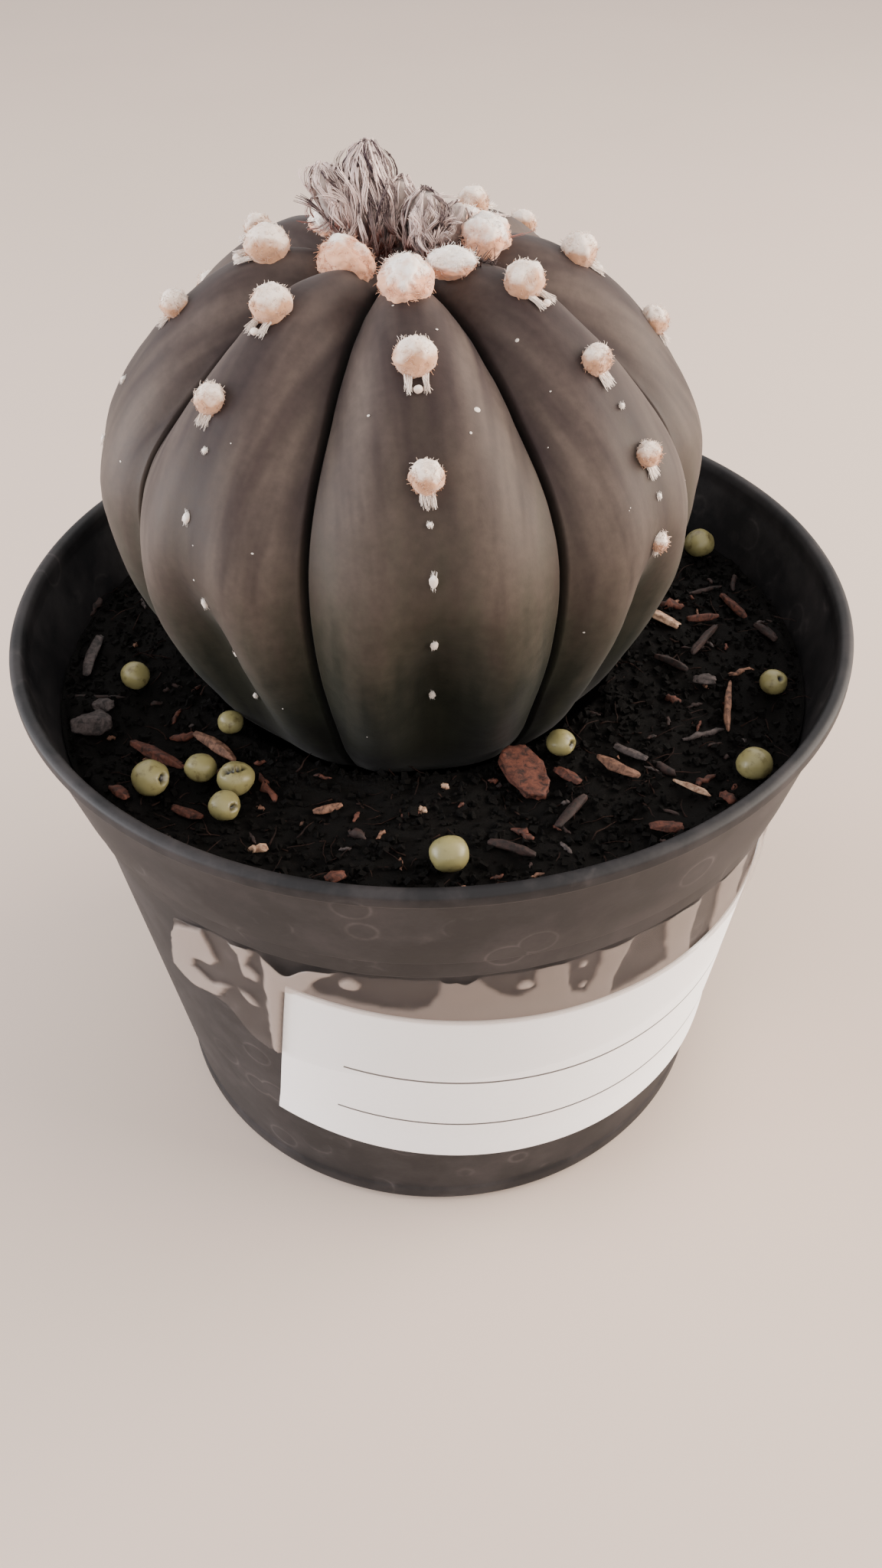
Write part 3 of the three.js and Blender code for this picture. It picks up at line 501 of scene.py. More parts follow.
class LabelSettings(bpy.types.PropertyGroup):
    paper: colour_setting("Paper", "Colour of the label's paper", "fbf9f9")
    rule: colour_setting("Rules", "Colour of the two ruled lines", "5f5a58")


class TapeSettings(bpy.types.PropertyGroup):
    film: colour_setting("Film", "Colour of the haze of the film where it lies close", "837670")
    air: colour_setting("Air", "Colour of the film where air is caught under it", "b0a097")


class StageSettings(bpy.types.PropertyGroup):
    floor: colour_setting("Floor", "Colour of the plain floor", "cbb8ab")
    sky: FloatProperty(name="Ambient light", description="Strength of the light from all sides",
                       default=1.4, min=0)
    key: FloatProperty(name="Key light", description="Power of the large soft light on the right",
                       default=8.6, min=0, unit="POWER")
    fill: FloatProperty(name="Fill light", description="Power of the soft light on the left",
                        default=6.6, min=0, unit="POWER")
    front: FloatProperty(name="Front light", description="Power of the soft light in front",
                         default=0.9, min=0, unit="POWER")
    back: FloatProperty(name="Back light", description="Power of the soft light above and behind",
                        default=0.6, min=0, unit="POWER")


SETTING_GROUPS = {
    "pot": PotSettings, "mix": MixSettings, "stem": StemSettings, "wool": WoolSettings,
    "buds": BudSettings, "loose": LooseSettings, "label": LabelSettings, "tape": TapeSettings,
    "stage": StageSettings,
}


class StarCactusSettings(bpy.types.PropertyGroup):
    __annotations__ = {
        key: PointerProperty(type=group, name=group.__name__, description=f"Settings of the {key}")
        for key, group in SETTING_GROUPS.items()
    }


# --- Materials ---

def per_mm(millimetres):
    """Texture scale that gives marks of this size on coordinates in metres."""
    return 1 / (millimetres * MM)


def moulded_polypropylene(settings):
    """Injection-moulded polypropylene: a soft satin gloss, cloudy where water has dried, painted
    near black inside as shade.
    """
    node, finish = new_material("moulded_polypropylene")
    place = node("TexCoord").outputs["Object"]
    cloud = node("TexNoise", Vector=place, Scale=per_mm(9), Detail=7, Roughness=0.68)
    drops = node("TexVoronoi", feature="F1", Vector=place, Scale=per_mm(7.5), Randomness=1)
    ring = node("ValToRGB", drops, stops=[(0.24, 0), (0.27, 1), (0.3, 0.15), (0.36, 0)])
    patches = node("ValToRGB", cloud, stops=[(0.42, 0), (0.72, 1)])
    marks = node("Math", ring, patches, operation="MULTIPLY")
    haze = node("Math", patches, 0.34, operation="MULTIPLY")
    dust = node("Math", marks, 0.6, haze, operation="MULTIPLY_ADD")
    outside = node("Mix", dust, settings.plastic, settings.dust, data_type="RGBA")
    # The inner surfaces are painted near black: painted shade inside the pot.
    inside = node("Attribute", attribute_name="inside").outputs["Fac"]
    grain = node("TexNoise", Vector=place, Scale=per_mm(0.6), Detail=4)
    return finish(
        Base_Color=node("Mix", inside, outside, linear("030303"), data_type="RGBA"),
        Roughness=node("MapRange", cloud, To_Min=0.45, To_Max=0.68),
        Normal=node("Bump", Height=grain, Strength=0.25, Distance=0.03 * MM),
        IOR=1.49, Specular_IOR_Level=0.24)


def damp_peat(name, colour, light, roughness):
    """Sieved peat, damp and dark, with a few crumbs that have dried paler; the mix's colour adds
    painted shade.
    """
    node, finish = new_material(name)
    place = node("TexCoord").outputs["Object"]
    grain = node("TexNoise", Vector=place, Scale=per_mm(0.9), Detail=7, Roughness=0.7)
    return finish(
        Base_Color=node("ValToRGB", grain, stops=[
            (0.4, colour), (0.62, light), (0.75, linear("19110f"))]),
        Normal=node("Bump", Height=grain, Strength=0.9, Distance=0.25 * MM),
        IOR=1.4, Roughness=roughness, Specular_IOR_Level=0.2)


def cactus_skin(settings):
    """Living epidermis under thin wax: mauve brown above, dark green below, satin all over, with
    painted shade and sheen.
    """
    node, finish = new_material("cactus_epidermis")
    station, across, furrow = (node("Attribute", attribute_name=name).outputs["Fac"]
                               for name in ("station", "across", "furrow"))
    strip = node("Attribute", attribute_name="strip").outputs["Vector"]
    place = node("TexCoord").outputs["Object"]
    streaks = node("TexNoise", Vector=strip, Scale=1, Detail=2, Roughness=0.5)
    mottle = node("TexNoise", Vector=place, Scale=per_mm(6), Detail=7, Roughness=0.62)
    # Where along the stem the skin turns from mauve to green, uneven from streak to streak.
    uneven = node("Math", streaks, 0.34, -0.17, operation="MULTIPLY_ADD")
    patchy = node("Math", mottle, 0.24, -0.12, operation="MULTIPLY_ADD")
    shifted = node("Math", uneven, patchy, operation="ADD")
    depth = node("Math", shifted, station, operation="ADD")
    # Darker down the stem: the skin's own mauve, then its dark green, then near black at the soil
    # line as painted shade.
    base = node("ValToRGB", depth, stops=[
        (0.22, settings.top), (0.44, settings.middle), (0.56, linear("2a281f")),
        (0.68, settings.low), (0.78, linear("080907"))])
    # A darker band down each crest: painted shade of a groove low down. A paler bloom on its sides.
    # Painted shade: the band is strongest down the crest and lower on the stem.
    crest = node("ValToRGB", across, stops=[
        (0, 0.55), (0.1, 0.4), (0.28, 0.08), (0.45, 0), (1, 0)])
    lower = node("MapRange", depth, From_Min=0.4, From_Max=0.62, To_Min=0.1, To_Max=1)
    band = node("Math", crest, lower, operation="MULTIPLY")
    darker = node("Mix", band, base, linear("211f16"), data_type="RGBA")
    # A paler colour on each rib's sides: partly waxy bloom, partly painted sheen where light grazes
    # the flanks, fading lower down.
    sides = node("ValToRGB", across, stops=[
        (0.12, 0.12), (0.4, 0.42), (0.75, 0.42), (0.95, 0.15)])
    streaky = node("MapRange", streaks, From_Min=0.3, From_Max=0.7, To_Min=0.25)
    bloom = node("Math", sides, streaky, operation="MULTIPLY")
    fading = node("MapRange", depth, From_Min=0.4, From_Max=0.66, To_Min=1, To_Max=0.08)
    thin = node("Math", bloom, fading, operation="MULTIPLY")
    bloom_and_sheen = node("Mix", thin, darker, settings.bloom, data_type="RGBA")
    # Painted shade: the furrows are darkened to near black.
    shaded = node("Mix", furrow, bloom_and_sheen, linear("0b0a07"), data_type="RGBA")
    grain = node("TexNoise", Vector=place, Scale=per_mm(0.9), Detail=5, Roughness=0.6)
    freckle = node("MapRange", grain, From_Min=0.3, From_Max=0.7, To_Min=0.88, To_Max=1.12)
    return finish(
        Base_Color=node("VectorMath", shaded, freckle, operation="SCALE"),
        Roughness=node("MapRange", grain, To_Min=0.44, To_Max=0.62),
        Normal=node("Bump", Height=grain, Strength=0.35, Distance=0.06 * MM),
        IOR=1.45, Specular_IOR_Level=0.14, Sheen_Weight=0.05, Sheen_Roughness=0.45)


def areole_wool(name, light, shade):
    """Felted plant wool, no gloss, its colour led by up: where up is the facing, painted light on
    top, painted shade below.
    """
    node, finish = new_material(name)
    up = node("Attribute", attribute_name="up").outputs["Fac"]
    place = node("TexCoord").outputs["Object"]
    patches = node("TexNoise", Vector=place, Scale=per_mm(1.3), Detail=3)
    blotchy = node("MapRange", patches, From_Min=0.3, From_Max=0.7, To_Min=-0.12, To_Max=0.6)
    painted_light_and_patches = node("Math", blotchy, up, operation="ADD")
    fibres = node("TexNoise", Vector=place, Scale=per_mm(0.3), Detail=4, Distortion=1.2)
    return finish(
        Base_Color=node("ValToRGB", painted_light_and_patches, stops=[(0.4, shade), (1, light)]),
        Normal=node("Bump", Height=fibres, Strength=0.4, Distance=0.1 * MM),
        IOR=1.5, Roughness=0.95, Specular_IOR_Level=0.1, Sheen_Weight=0.4, Sheen_Roughness=0.6)


def bud_hair(settings):
    """Hairs of the buds: soft and pale, or dark towards the tip, over warm brown roots."""
    node, finish = new_material("bud_hair")
    along, tone = (node("Attribute", attribute_name=name).outputs["Fac"]
                   for name in ("along", "tone"))
    pale = node("ValToRGB", along, stops=[
        (0, settings.base), (0.3, settings.wool), (1, settings.wool)])
    end = node("Math", along, 2.2, 0.3, operation="MULTIPLY_ADD", use_clamp=True)
    depth = node("Math", end, tone, operation="MULTIPLY", use_clamp=True)
    return finish(
        Base_Color=node("Mix", depth, pale, settings.tip, data_type="RGBA"),
        IOR=1.54, Roughness=0.6, Specular_IOR_Level=0.25)


def fertiliser_resin(settings):
    """Resin-coated fertiliser: a thin glossy skin over a pale core, stained by the peat."""
    node, finish = new_material("fertiliser_resin")
    place = node("TexCoord").outputs["Object"]
    stains = node("TexNoise", Vector=place, Scale=per_mm(1.3), Detail=6, Roughness=0.65)
    mask = node("ValToRGB", stains, stops=[(0.54, 0), (0.72, 0.85)])
    coat = node("Mix", mask, settings.resin, settings.stain, data_type="RGBA")
    pit = node("Attribute", attribute_name="pit").outputs["Fac"]
    return finish(
        Base_Color=node("Mix", pit, coat, linear("0c0a07"), data_type="RGBA"),
        Normal=node("Bump", Height=stains, Strength=0.35, Distance=0.1 * MM),
        IOR=1.52, Roughness=0.38)


def pine_bark(name, hex_colour, hex_dark):
    """Shredded pine bark: dull and fibrous, darker in the grain, with damp dark patches."""
    node, finish = new_material(name)
    grain = node("TexNoise", Vector=node("TexCoord").outputs["Object"], Scale=per_mm(0.7),
                 Detail=8, Roughness=0.7, Distortion=0.6)
    return finish(
        Base_Color=node("ValToRGB", grain, stops=[
            (0.38, linear(hex_dark)), (0.6, linear(hex_colour))]),
        Normal=node("Bump", Height=grain, Strength=0.8, Distance=0.12 * MM),
        IOR=1.45, Roughness=0.72)


def printer_paper(settings):
    """Uncoated printer paper: matt white with a faint fibre, and two ruled writing lines."""
    node, finish = new_material("printer_paper")
    sheet = node("Attribute", attribute_name="sheet").outputs["Vector"]
    spot = node("SeparateXYZ", sheet).outputs
    upper, lower = (node("Math", spot["Y"], height, RULE_WIDTH / 2, operation="COMPARE")
                    for height in RULE_HEIGHTS)
    rules = node("Math", upper, lower, operation="MAXIMUM")
    within = node("Math", spot["X"], 0, RULE_LENGTH / 2, operation="COMPARE")
    lines = node("Math", rules, within, operation="MULTIPLY")
    ink = node("Mix", lines, settings.paper, settings.rule, data_type="RGBA")
    place = node("TexCoord").outputs["Object"]
    fibre = node("TexNoise", Vector=place, Scale=per_mm(0.5), Detail=6, Distortion=1.5)
    shade = node("MapRange", fibre, To_Min=0.95, To_Max=1.03)
    return finish(
        Base_Color=node("VectorMath", ink, shade, operation="SCALE"),
        Normal=node("Bump", Height=fibre, Strength=0.15, Distance=0.02 * MM),
        IOR=1.45, Roughness=0.75, Specular_IOR_Level=0.3)


def packing_tape(settings):
    """Clear polypropylene tape: glossy, nearly unseen where it sticks, milky over caught air."""
    node, finish = new_material("packing_tape")
    air, haze = (node("Attribute", attribute_name=name).outputs["Fac"] for name in ("air", "haze"))
    return finish(
        Base_Color=node("Mix", air, settings.film, settings.air, data_type="RGBA"),
        Alpha=haze, IOR=1.49, Roughness=0.2)


def studio_floor(settings):
    """Plain pale matt floor, faintly uneven."""
    node, finish = new_material("studio_floor")
    place = node("TexCoord").outputs["Object"]
    cloud = node("TexNoise", Vector=place, Scale=per_mm(60), Detail=3)
    tone = node("MapRange", cloud, To_Min=0.97, To_Max=1.03)
    return finish(
        Base_Color=node("VectorMath", settings.floor[:3], tone, operation="SCALE"),
        Roughness=0.85)


# --- Pot ---

POT_SEGMENTS = 256
POT_LONGEST_STEP = 4.0  # along the wall, so that its faces stay even


def rounded(corners, radius, steps=4):
    """A closed profile with its corners rounded off, except those on the axis."""
    profile = []
    corners = [np.array(corner, float) for corner in corners]
    for before, here, after in zip(corners[-1:] + corners, corners, corners[1:] + corners[:1]):
        if here[0] == 0:
            profile.append(tuple(here))
            continue
        reach = min(radius, 0.4 * np.linalg.norm(before - here), 0.4 * np.linalg.norm(after - here))
        start, end = here + unit(before - here) * reach, here + unit(after - here) * reach
        for t in (k / steps for k in range(steps + 1)):
            profile.append(tuple((1 - t) ** 2 * start + 2 * t * (1 - t) * here + t * t * end))
    return profile


def build_pot(settings):
    """The moulded pot, turned from its profile and drilled."""
    inner_lip = RIM_RADIUS - LIP_WIDTH
    outside = [
        (FOOT_RING_INNER_RADIUS - 0.3, FLOOR_UNDERSIDE_Z), (FOOT_RING_INNER_RADIUS, 0),
        (FOOT_RADIUS - 1.2, 0), (FOOT_RADIUS, 0.9), (FOOT_RADIUS, 2.6),
        (WALL_FOOT_RADIUS, WALL_FOOT_Z), (WALL_TOP_RADIUS, WALL_TOP_Z),
        (BAND_FOOT_RADIUS - 0.8, WALL_TOP_Z + 0.3), (BAND_FOOT_RADIUS - 0.35, BAND_FOOT_Z - 0.75),
        (BAND_FOOT_RADIUS, BAND_FOOT_Z - 0.5), (BAND_TOP_RADIUS, BAND_TOP_Z),
        (RIM_RADIUS, BAND_TOP_Z + 0.35), (RIM_RADIUS, POT_HEIGHT - 0.35),
        (RIM_RADIUS - 0.55, POT_HEIGHT), (inner_lip + 0.25, POT_HEIGHT - 0.1),
    ]
    inside = [
        (inner_lip - 0.05, POT_HEIGHT - 0.8), (BAND_TOP_RADIUS - WALL_THICKNESS, BAND_TOP_Z - 0.4),
        (BAND_FOOT_RADIUS - WALL_THICKNESS, BAND_FOOT_Z),
        (WALL_TOP_RADIUS - WALL_THICKNESS, WALL_TOP_Z),
        (WALL_FOOT_RADIUS - WALL_THICKNESS, WALL_FOOT_Z + 0.6),
        (WALL_FOOT_RADIUS - WALL_THICKNESS - 0.8, FLOOR_TOP_Z),
    ]
    corners = [(0, FLOOR_UNDERSIDE_Z), *outside, *inside, (0, FLOOR_TOP_Z)]
    profile = rounded(corners, settings.rim_rounding / MM)
    fine = [profile[0]]
    for low, high in zip(profile, profile[1:]):
        steps = max(1, math.ceil(math.dist(low, high) / POT_LONGEST_STEP))
        fine += [tuple(np.array(low) + (np.array(high) - np.array(low)) * k / steps)
                 for k in range(1, steps + 1)]
    points, faces = lathe(fine, POT_SEGMENTS)
    radius, z = np.hypot(points[:, 0], points[:, 1]), points[:, 2]
    lip = (z > BAND_TOP_Z) & (radius > inner_lip - 0.2)
    wall = WALL_FOOT_RADIUS + WALL_SLOPE * (z - WALL_FOOT_Z)
    band = BAND_FOOT_RADIUS - 0.8 + (z - BAND_FOOT_Z) * 0.24
    shell = np.where(z > WALL_TOP_Z, band, wall)
    # The inner surfaces below the lip, which the plastic paints near black as painted shade.
    painted_shade_inside = (radius < shell - 0.5) & (z > FLOOR_UNDERSIDE_Z + 0.3) & ~lip
    piece = new_piece("nursery_pot", points, faces, moulded_polypropylene(settings),
                      "pot_plastic", "pot", {"inside": painted_shade_inside.astype(float)})
    weld_and_drill(piece)
    piece.data.set_sharp_from_angle(angle=SHARP_EDGE)


def weld_and_drill(piece):
    """Closes the lathe's ends on the axis, and cuts the drain holes through the floor."""
    solid = bmesh.new()
    solid.from_mesh(piece.data)
    bmesh.ops.remove_doubles(solid, verts=solid.verts, dist=1e-6)
    solid.to_mesh(piece.data)
    solid.free()
    spots = [(0, 0)] + [
        (DRAIN_CIRCLE_RADIUS * math.cos(turn), DRAIN_CIRCLE_RADIUS * math.sin(turn))
        for turn in np.linspace(0, 2 * math.pi, DRAIN_HOLE_COUNT, endpoint=False)]
    drills = bmesh.new()
    for x, y in spots:
        spot = Matrix.Translation(Vector((x, y, FLOOR_TOP_Z)) * MM)
        bmesh.ops.create_cone(drills, cap_ends=True, segments=40, radius1=DRAIN_HOLE_RADIUS * MM,
                              radius2=DRAIN_HOLE_RADIUS * MM, depth=DRILL_LENGTH * MM, matrix=spot)
    cutter = new_object("drills", bpy.data.meshes.new("drills"))
    drills.to_mesh(cutter.data)
    drills.free()
    cut = piece.modifiers.new("drain_holes", "BOOLEAN")
    cut.operation = "DIFFERENCE"
    cut.solver = "EXACT"
    cut.object = cutter
    graph = bpy.context.evaluated_depsgraph_get()
    drilled = bpy.data.meshes.new_from_object(piece.evaluated_get(graph))
    if len(drilled.polygons) < len(piece.data.polygons) / 2:
        raise RuntimeError("the drain holes could not be cut")
    piece.modifiers.remove(cut)
    piece.data = drilled
    bpy.data.meshes.remove(cutter.data)


# --- Potting mix ---

STEM_RADIUS_AT_MIX = 22.2
MIX_GAP = 0.32  # between the mix and the pot
MIX_RINGS, MIX_AROUND = 62, 300
ROOT_FIBRES, ROOT_FIBRE_STEPS = 420, 5
# The hole that the stem's foot stands in, as [radius, height].
PLANT_HOLE = [(0.1, 34), (3.4, 38.5), (6, 44.5), (10.9, 49.4), (18.4, 53.2)]


def surface_tree(mesh):
    """A search tree of a mesh's faces, to find a place on it."""
    points = [vertex.co[:] for vertex in mesh.vertices]
    return BVHTree.FromPolygons(points, [face.vertices[:] for face in mesh.polygons])


@functools.lru_cache(maxsize=None)
def ground_tree():
    """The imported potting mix, to set loose things on."""
    return surface_tree(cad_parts["soil"].data)


def below(tree, x, y):
    """The place of a surface under a point high above it, or nothing."""
    return tree.ray_cast(Vector((x * MM, y * MM, 0.2)), Vector((0, 0, -1)))[0]


def ground(x, y):
    """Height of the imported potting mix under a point, in millimetres."""
    hit = below(ground_tree(), x, y)
    return SOIL_LEVEL - 0.6 if hit is None else max(hit[2] / MM, SOIL_LEVEL - 2)


def mix_edge(z):
    """Radius of the pot's inner wall at a height of the rim band."""
    slope = (BAND_TOP_RADIUS - BAND_FOOT_RADIUS) / (BAND_TOP_Z - BAND_FOOT_Z)
    return BAND_FOOT_RADIUS - WALL_THICKNESS + slope * (z - BAND_FOOT_Z)


def stem_radius(turn):
    """The stem's outer radius at soil level, towards a bearing in radians."""
    return STEM_RADIUS_AT_MIX + 0.3 * math.cos(len(RIBS) * turn)


def spot_on_mix(draw, margin=0.6):
    """A random point of the mix between the stem and the pot's wall."""
    inner, outer = STEM_RADIUS_AT_MIX + 0.4, mix_edge(SOIL_LEVEL) - margin
    while True:
        x, y = draw.uniform(-outer, outer, 2)
        if math.hypot(x, y) < outer and math.hypot(x - STEM_X, y - STEM_Y) > inner:
            return x, y


def circle(radius, z, turns, x=0, y=0):
    """Points of a level circle at the given turns."""
    return np.stack([x + radius * np.cos(turns), y + radius * np.sin(turns),
                     np.full(len(turns), float(z))], axis=1)


def build_mix(settings):
    """The body of the mix with the plant's hole, and the crumbs on it."""
    draw = np.random.RandomState(SEEDS["mix"])
    # The peat colour holds painted shade as well as the mix's own dark colour.
    material = damp_peat("damp_peat", settings.peat, linear("0a0706"), 0.85)
    turns = np.linspace(0, 2 * math.pi, MIX_AROUND, endpoint=False)
    outer = mix_edge(SOIL_LEVEL) - MIX_GAP
    top = []
    for share in np.linspace(0, 1, MIX_RINGS):
        for turn in turns:
            near = stem_radius(turn) - 0.4
            ax, ay = STEM_X + near * math.cos(turn), STEM_Y + near * math.sin(turn)
            bx, by = outer * math.cos(turn), outer * math.sin(turn)
            x, y = ax + (bx - ax) * share, ay + (by - ay) * share
            top.append((x, y, ground(x, y)))
    top = np.array(top)
    top[:, 2] += 0.3 * lumps(top, 2.6, 1) + 0.22 * lumps(top, 0.9, 2) + 0.1
    hole = [circle(radius, z, turns, STEM_X, STEM_Y) for radius, z in PLANT_HOLE]
    wall = WALL_THICKNESS + MIX_GAP
    below_top = [circle(radius, z, turns) for radius, z in (
        (mix_edge(BAND_FOOT_Z) - MIX_GAP, BAND_FOOT_Z), (WALL_TOP_RADIUS - wall, WALL_TOP_Z),
        (WALL_FOOT_RADIUS - wall - 0.8, FLOOR_TOP_Z + 0.3), (0.1, FLOOR_TOP_Z + 0.3))]
    rows = [*hole, *top.reshape(MIX_RINGS, MIX_AROUND, 3), *below_top]
    points = np.concatenate(rows)
    faces = [face[::-1] for face in grid_faces(len(rows), MIX_AROUND, wrap=True)]
    faces += [list(range(MIX_AROUND)), list(range(len(points) - MIX_AROUND, len(points)))[::-1]]
    new_piece("potting_mix", points, faces, material, "potting_mix", "soil")
    build_crumbs(settings, material, draw)


def build_crumbs(settings, material, draw):
    """Loose crumbs of peat and short root fibres over the mix."""
    corners = np.array([(x, y, z) for x in (-1, 1) for y in (-1, 1) for z in (-1, 1)], float)
    sides = [[0, 1, 3, 2], [4, 6, 7, 5], [0, 4, 5, 1], [2, 3, 7, 6], [0, 2, 6, 4], [1, 5, 7, 3]]
    batch = Batch()
    usual = settings.crumb_size / MM
    for _ in range(settings.crumb_count):
        x, y = spot_on_mix(draw)
        size = usual * (0.25 + 0.9 * draw.random_sample() ** 2.2)
        form = corners * size / 2 * draw.uniform(0.55, 1.2, 3)
        form = form + size * 0.22 * draw.uniform(-1, 1, form.shape)
        angle = draw.uniform(0, 6.28)
        turn = np.array(Matrix.Rotation(angle, 3, Vector(unit(draw.normal(size=3)))))
        batch.add(form @ turn.T + (x, y, ground(x, y) + 0.12 + 0.25 * size), sides)
    batch.piece("potting_mix_crumbs", material, "potting_mix", smooth=False)

    count, steps = ROOT_FIBRES, ROOT_FIBRE_STEPS
    spots = [spot_on_mix(draw, 1.6) for _ in range(count)]
    roots = np.array([(x, y, ground(x, y) + 0.25) for x, y in spots])
    headings = unit(draw.normal(size=(count, 3)) * (1, 1, 0.12))
    paths = grown_paths(roots, headings, draw.uniform(1.2, 4, count), steps, draw, 0.22)
    paths[..., 2] = np.clip(paths[..., 2], roots[:, None, 2] - 0.1, roots[:, None, 2] + 0.6)
    radii = np.linspace(0.09, 0.03, steps)[None] * draw.uniform(0.7, 1.5, count)[:, None]
    peat = damp_peat("root_fibre", linear("1c1311"), linear("33221c"), 0.7)
    new_piece("potting_mix_fibres", *strands(paths, radii), peat, "potting_mix")


# --- Stem ---

GREEN_SPAN = 18  # stations over which the skin's colour runs from top to root
ROW_STEP = 0.09  # from one row of the skin to the next, in stations
# Columns of points from a crest to a furrow, close together at the furrow.
HALF_RIB = [0, 0.06, 0.12, 0.19, 0.26, 0.34, 0.42, 0.5, 0.58, 0.66, 0.73, 0.79, 0.84, 0.88, 0.915,
            0.94, 0.955, 0.967, 0.98, 0.99]


def build_stem(settings):
    """The ribbed skin, as rows of points from the crown down to the root."""
    bare = np.arange(0.3, SOIL_STATION + 0.6, ROW_STEP)
    stations = np.concatenate([bare, np.arange(15, 17.7, 0.5)])  # few rows in the mix
    across = np.array([-1] + [-value for value in HALF_RIB[:0:-1]] + HALF_RIB)
    width = len(across)
    rows, edges, levels, strips, slits = [], [], [], [], []
    for station in stations:
        _, flank, furrow, _ = level(round(float(station), 4))
        lip = furrow_lip(furrow[0])
        for rib in range(len(RIBS)):
            rows.append(skin_points(station, rib, across))
            edges.append(np.abs(across))
            delay = GREEN_DELAY[rib] * (1 - smoothstep(station, 9.5, 13.5))
            levels.append(np.full(width, (station - delay) / GREEN_SPAN))
            # How far into its furrow's slit a point lies, which the skin darkens as painted shade.
            slits.append(np.clip((np.abs(across) - lip) / (1 - lip), 0, 1) ** 0.6)
            # Stretched along the rib, so that the streaks in the skin run down it.
            strips.append(np.stack([across * flank[0] * 0.19 + rib * 9,
                                    np.full(width, station * 0.35),
                                    np.full(width, rib * 3.7)], axis=1))
    points = np.concatenate(rows)
    columns = width * len(RIBS)
    outward = unit(points - (STEM_X, STEM_Y, 82))
    swell = 0.16 * lumps(points, 7, 3) + 0.03 * lumps(points, 1.6, 4)
    points = points + outward * swell[:, None]
    faces = [face[::-1] for face in grid_faces(len(stations), columns, wrap=True)]
    apex, root = len(points), len(points) + 1
    points = np.concatenate([points, skin_points(0, 0, 0), skin_points(19, 0, 0)])
    last = (len(stations) - 1) * columns
    faces += [[i, (i + 1) % columns, apex] for i in range(columns)]
    faces += [[last + (i + 1) % columns, last + i, root] for i in range(columns)]
    values = {
        "across": np.concatenate([*edges, [0, 0]]),
        "station": np.concatenate([*levels, [0, 1]]),
        "strip": np.concatenate([*strips, np.zeros((2, 3))]),
        "furrow": np.concatenate([*slits, [0, 0]]),
    }
    new_piece("cactus_stem", points, faces, cactus_skin(settings), "cactus_skin", "stem", values)
    build_flecks()


def build_flecks():
    """The few pale scale flecks that this bare-skinned plant has."""
    ball, faces = icosphere(2)
    batch = Batch()
    draw = np.random.RandomState(SEEDS["flecks"])
    spots = FLECKS + [
        (draw.randint(len(RIBS)), draw.uniform(3, 13), draw.uniform(-0.9, 0.9),
         draw.uniform(0.04, 0.1)) for _ in range(SMALL_FLECKS)]
    for rib, station, across, radius in spots:
        place, axes = skin_frame(station, rib, across)
        form = ball * (radius * draw.uniform(0.8, 1.5), radius, radius * 0.35)
        batch.add(form @ axes + place, faces)
    _, finish = new_material("skin_fleck")
    material = finish(Base_Color=linear("cfc6bd"), Roughness=0.8)
    batch.piece("skin_flecks", material, "cactus_skin")


# --- Wool ---

def wool_core(batch, centre, axes, size, levels, seed, lump=0.1, shade_bias=0):
    """A lumpy felted cushion. axes are its own directions as rows, and size its half sizes."""
    ball, faces = icosphere(levels)
    swell = 1 + lump * lumps(ball, 0.55, seed) + 0.4 * lump * lumps(ball, 0.2, seed + 1)
    normals = unit(ball / size) @ axes
    # up is the facing less the cushion's shift towards shade: painted light on top and painted
    # shade underneath.
    batch.add((ball * swell[:, None] * size) @ axes + centre, faces, up=normals[:, 2] - shade_bias)


def wool_fibres(batch, centre, axes, size, count, length, radius, seed, steps=5, shade_bias=0):
    """Short curly fibres over a cushion, lying nearly flat on it."""
    draw = np.random.RandomState(seed)
    ball = unit(draw.normal(size=(count * 3, 3)))
    ball = ball[ball[:, 2] > -0.35][:count]
    normals = unit((ball / size) @ axes)
    roots = (ball * size * 0.96) @ axes + centre
    tangents = unit(np.cross(normals, draw.normal(size=normals.shape)))
    headings = tangents + normals * draw.uniform(0, 0.3, len(ball))[:, None]
    lengths = length * draw.uniform(0.5, 1.3, len(ball))
    points, faces = grown_hairs(roots, headings, lengths, steps, draw, 0.3, (1, 0.45), radius,
                                (0.7, 1.3))
    # up is the facing at each fibre's root, for the same painted light and shade.
    batch.add(points, faces, up=per_strand(normals[:, 2] - shade_bias, steps))


def wool_lock(batch, root, heading, spread, outward, length, count, radius, draw, pinch=0.25):
    """A tapering lock of wool that lies on the skin."""
    side = np.cross(outward, heading)
    offset = draw.uniform(-1, 1, count)
    lift = draw.uniform(0, 0.3, count)
    roots = root + side * (offset * spread)[:, None] + outward * lift[:, None]
    headings = heading - side * (offset * pinch)[:, None] - outward * (lift * 0.25)[:, None]
    headings = headings + draw.normal(size=(count, 3)) * 0.06
    lengths = length * draw.uniform(0.6, 1.05, count)
    points, faces = grown_hairs(roots, headings, lengths, 5, draw, 0.08, (1.3, 0.35), radius,
                                (0.7, 1.3))
    batch.add(points, faces, up=0.7)


def build_wool(settings):
    """The wool of the crown, and of the large and the small areoles."""
    build_cushions(settings)
    build_balls(settings)
    build_dots(settings)


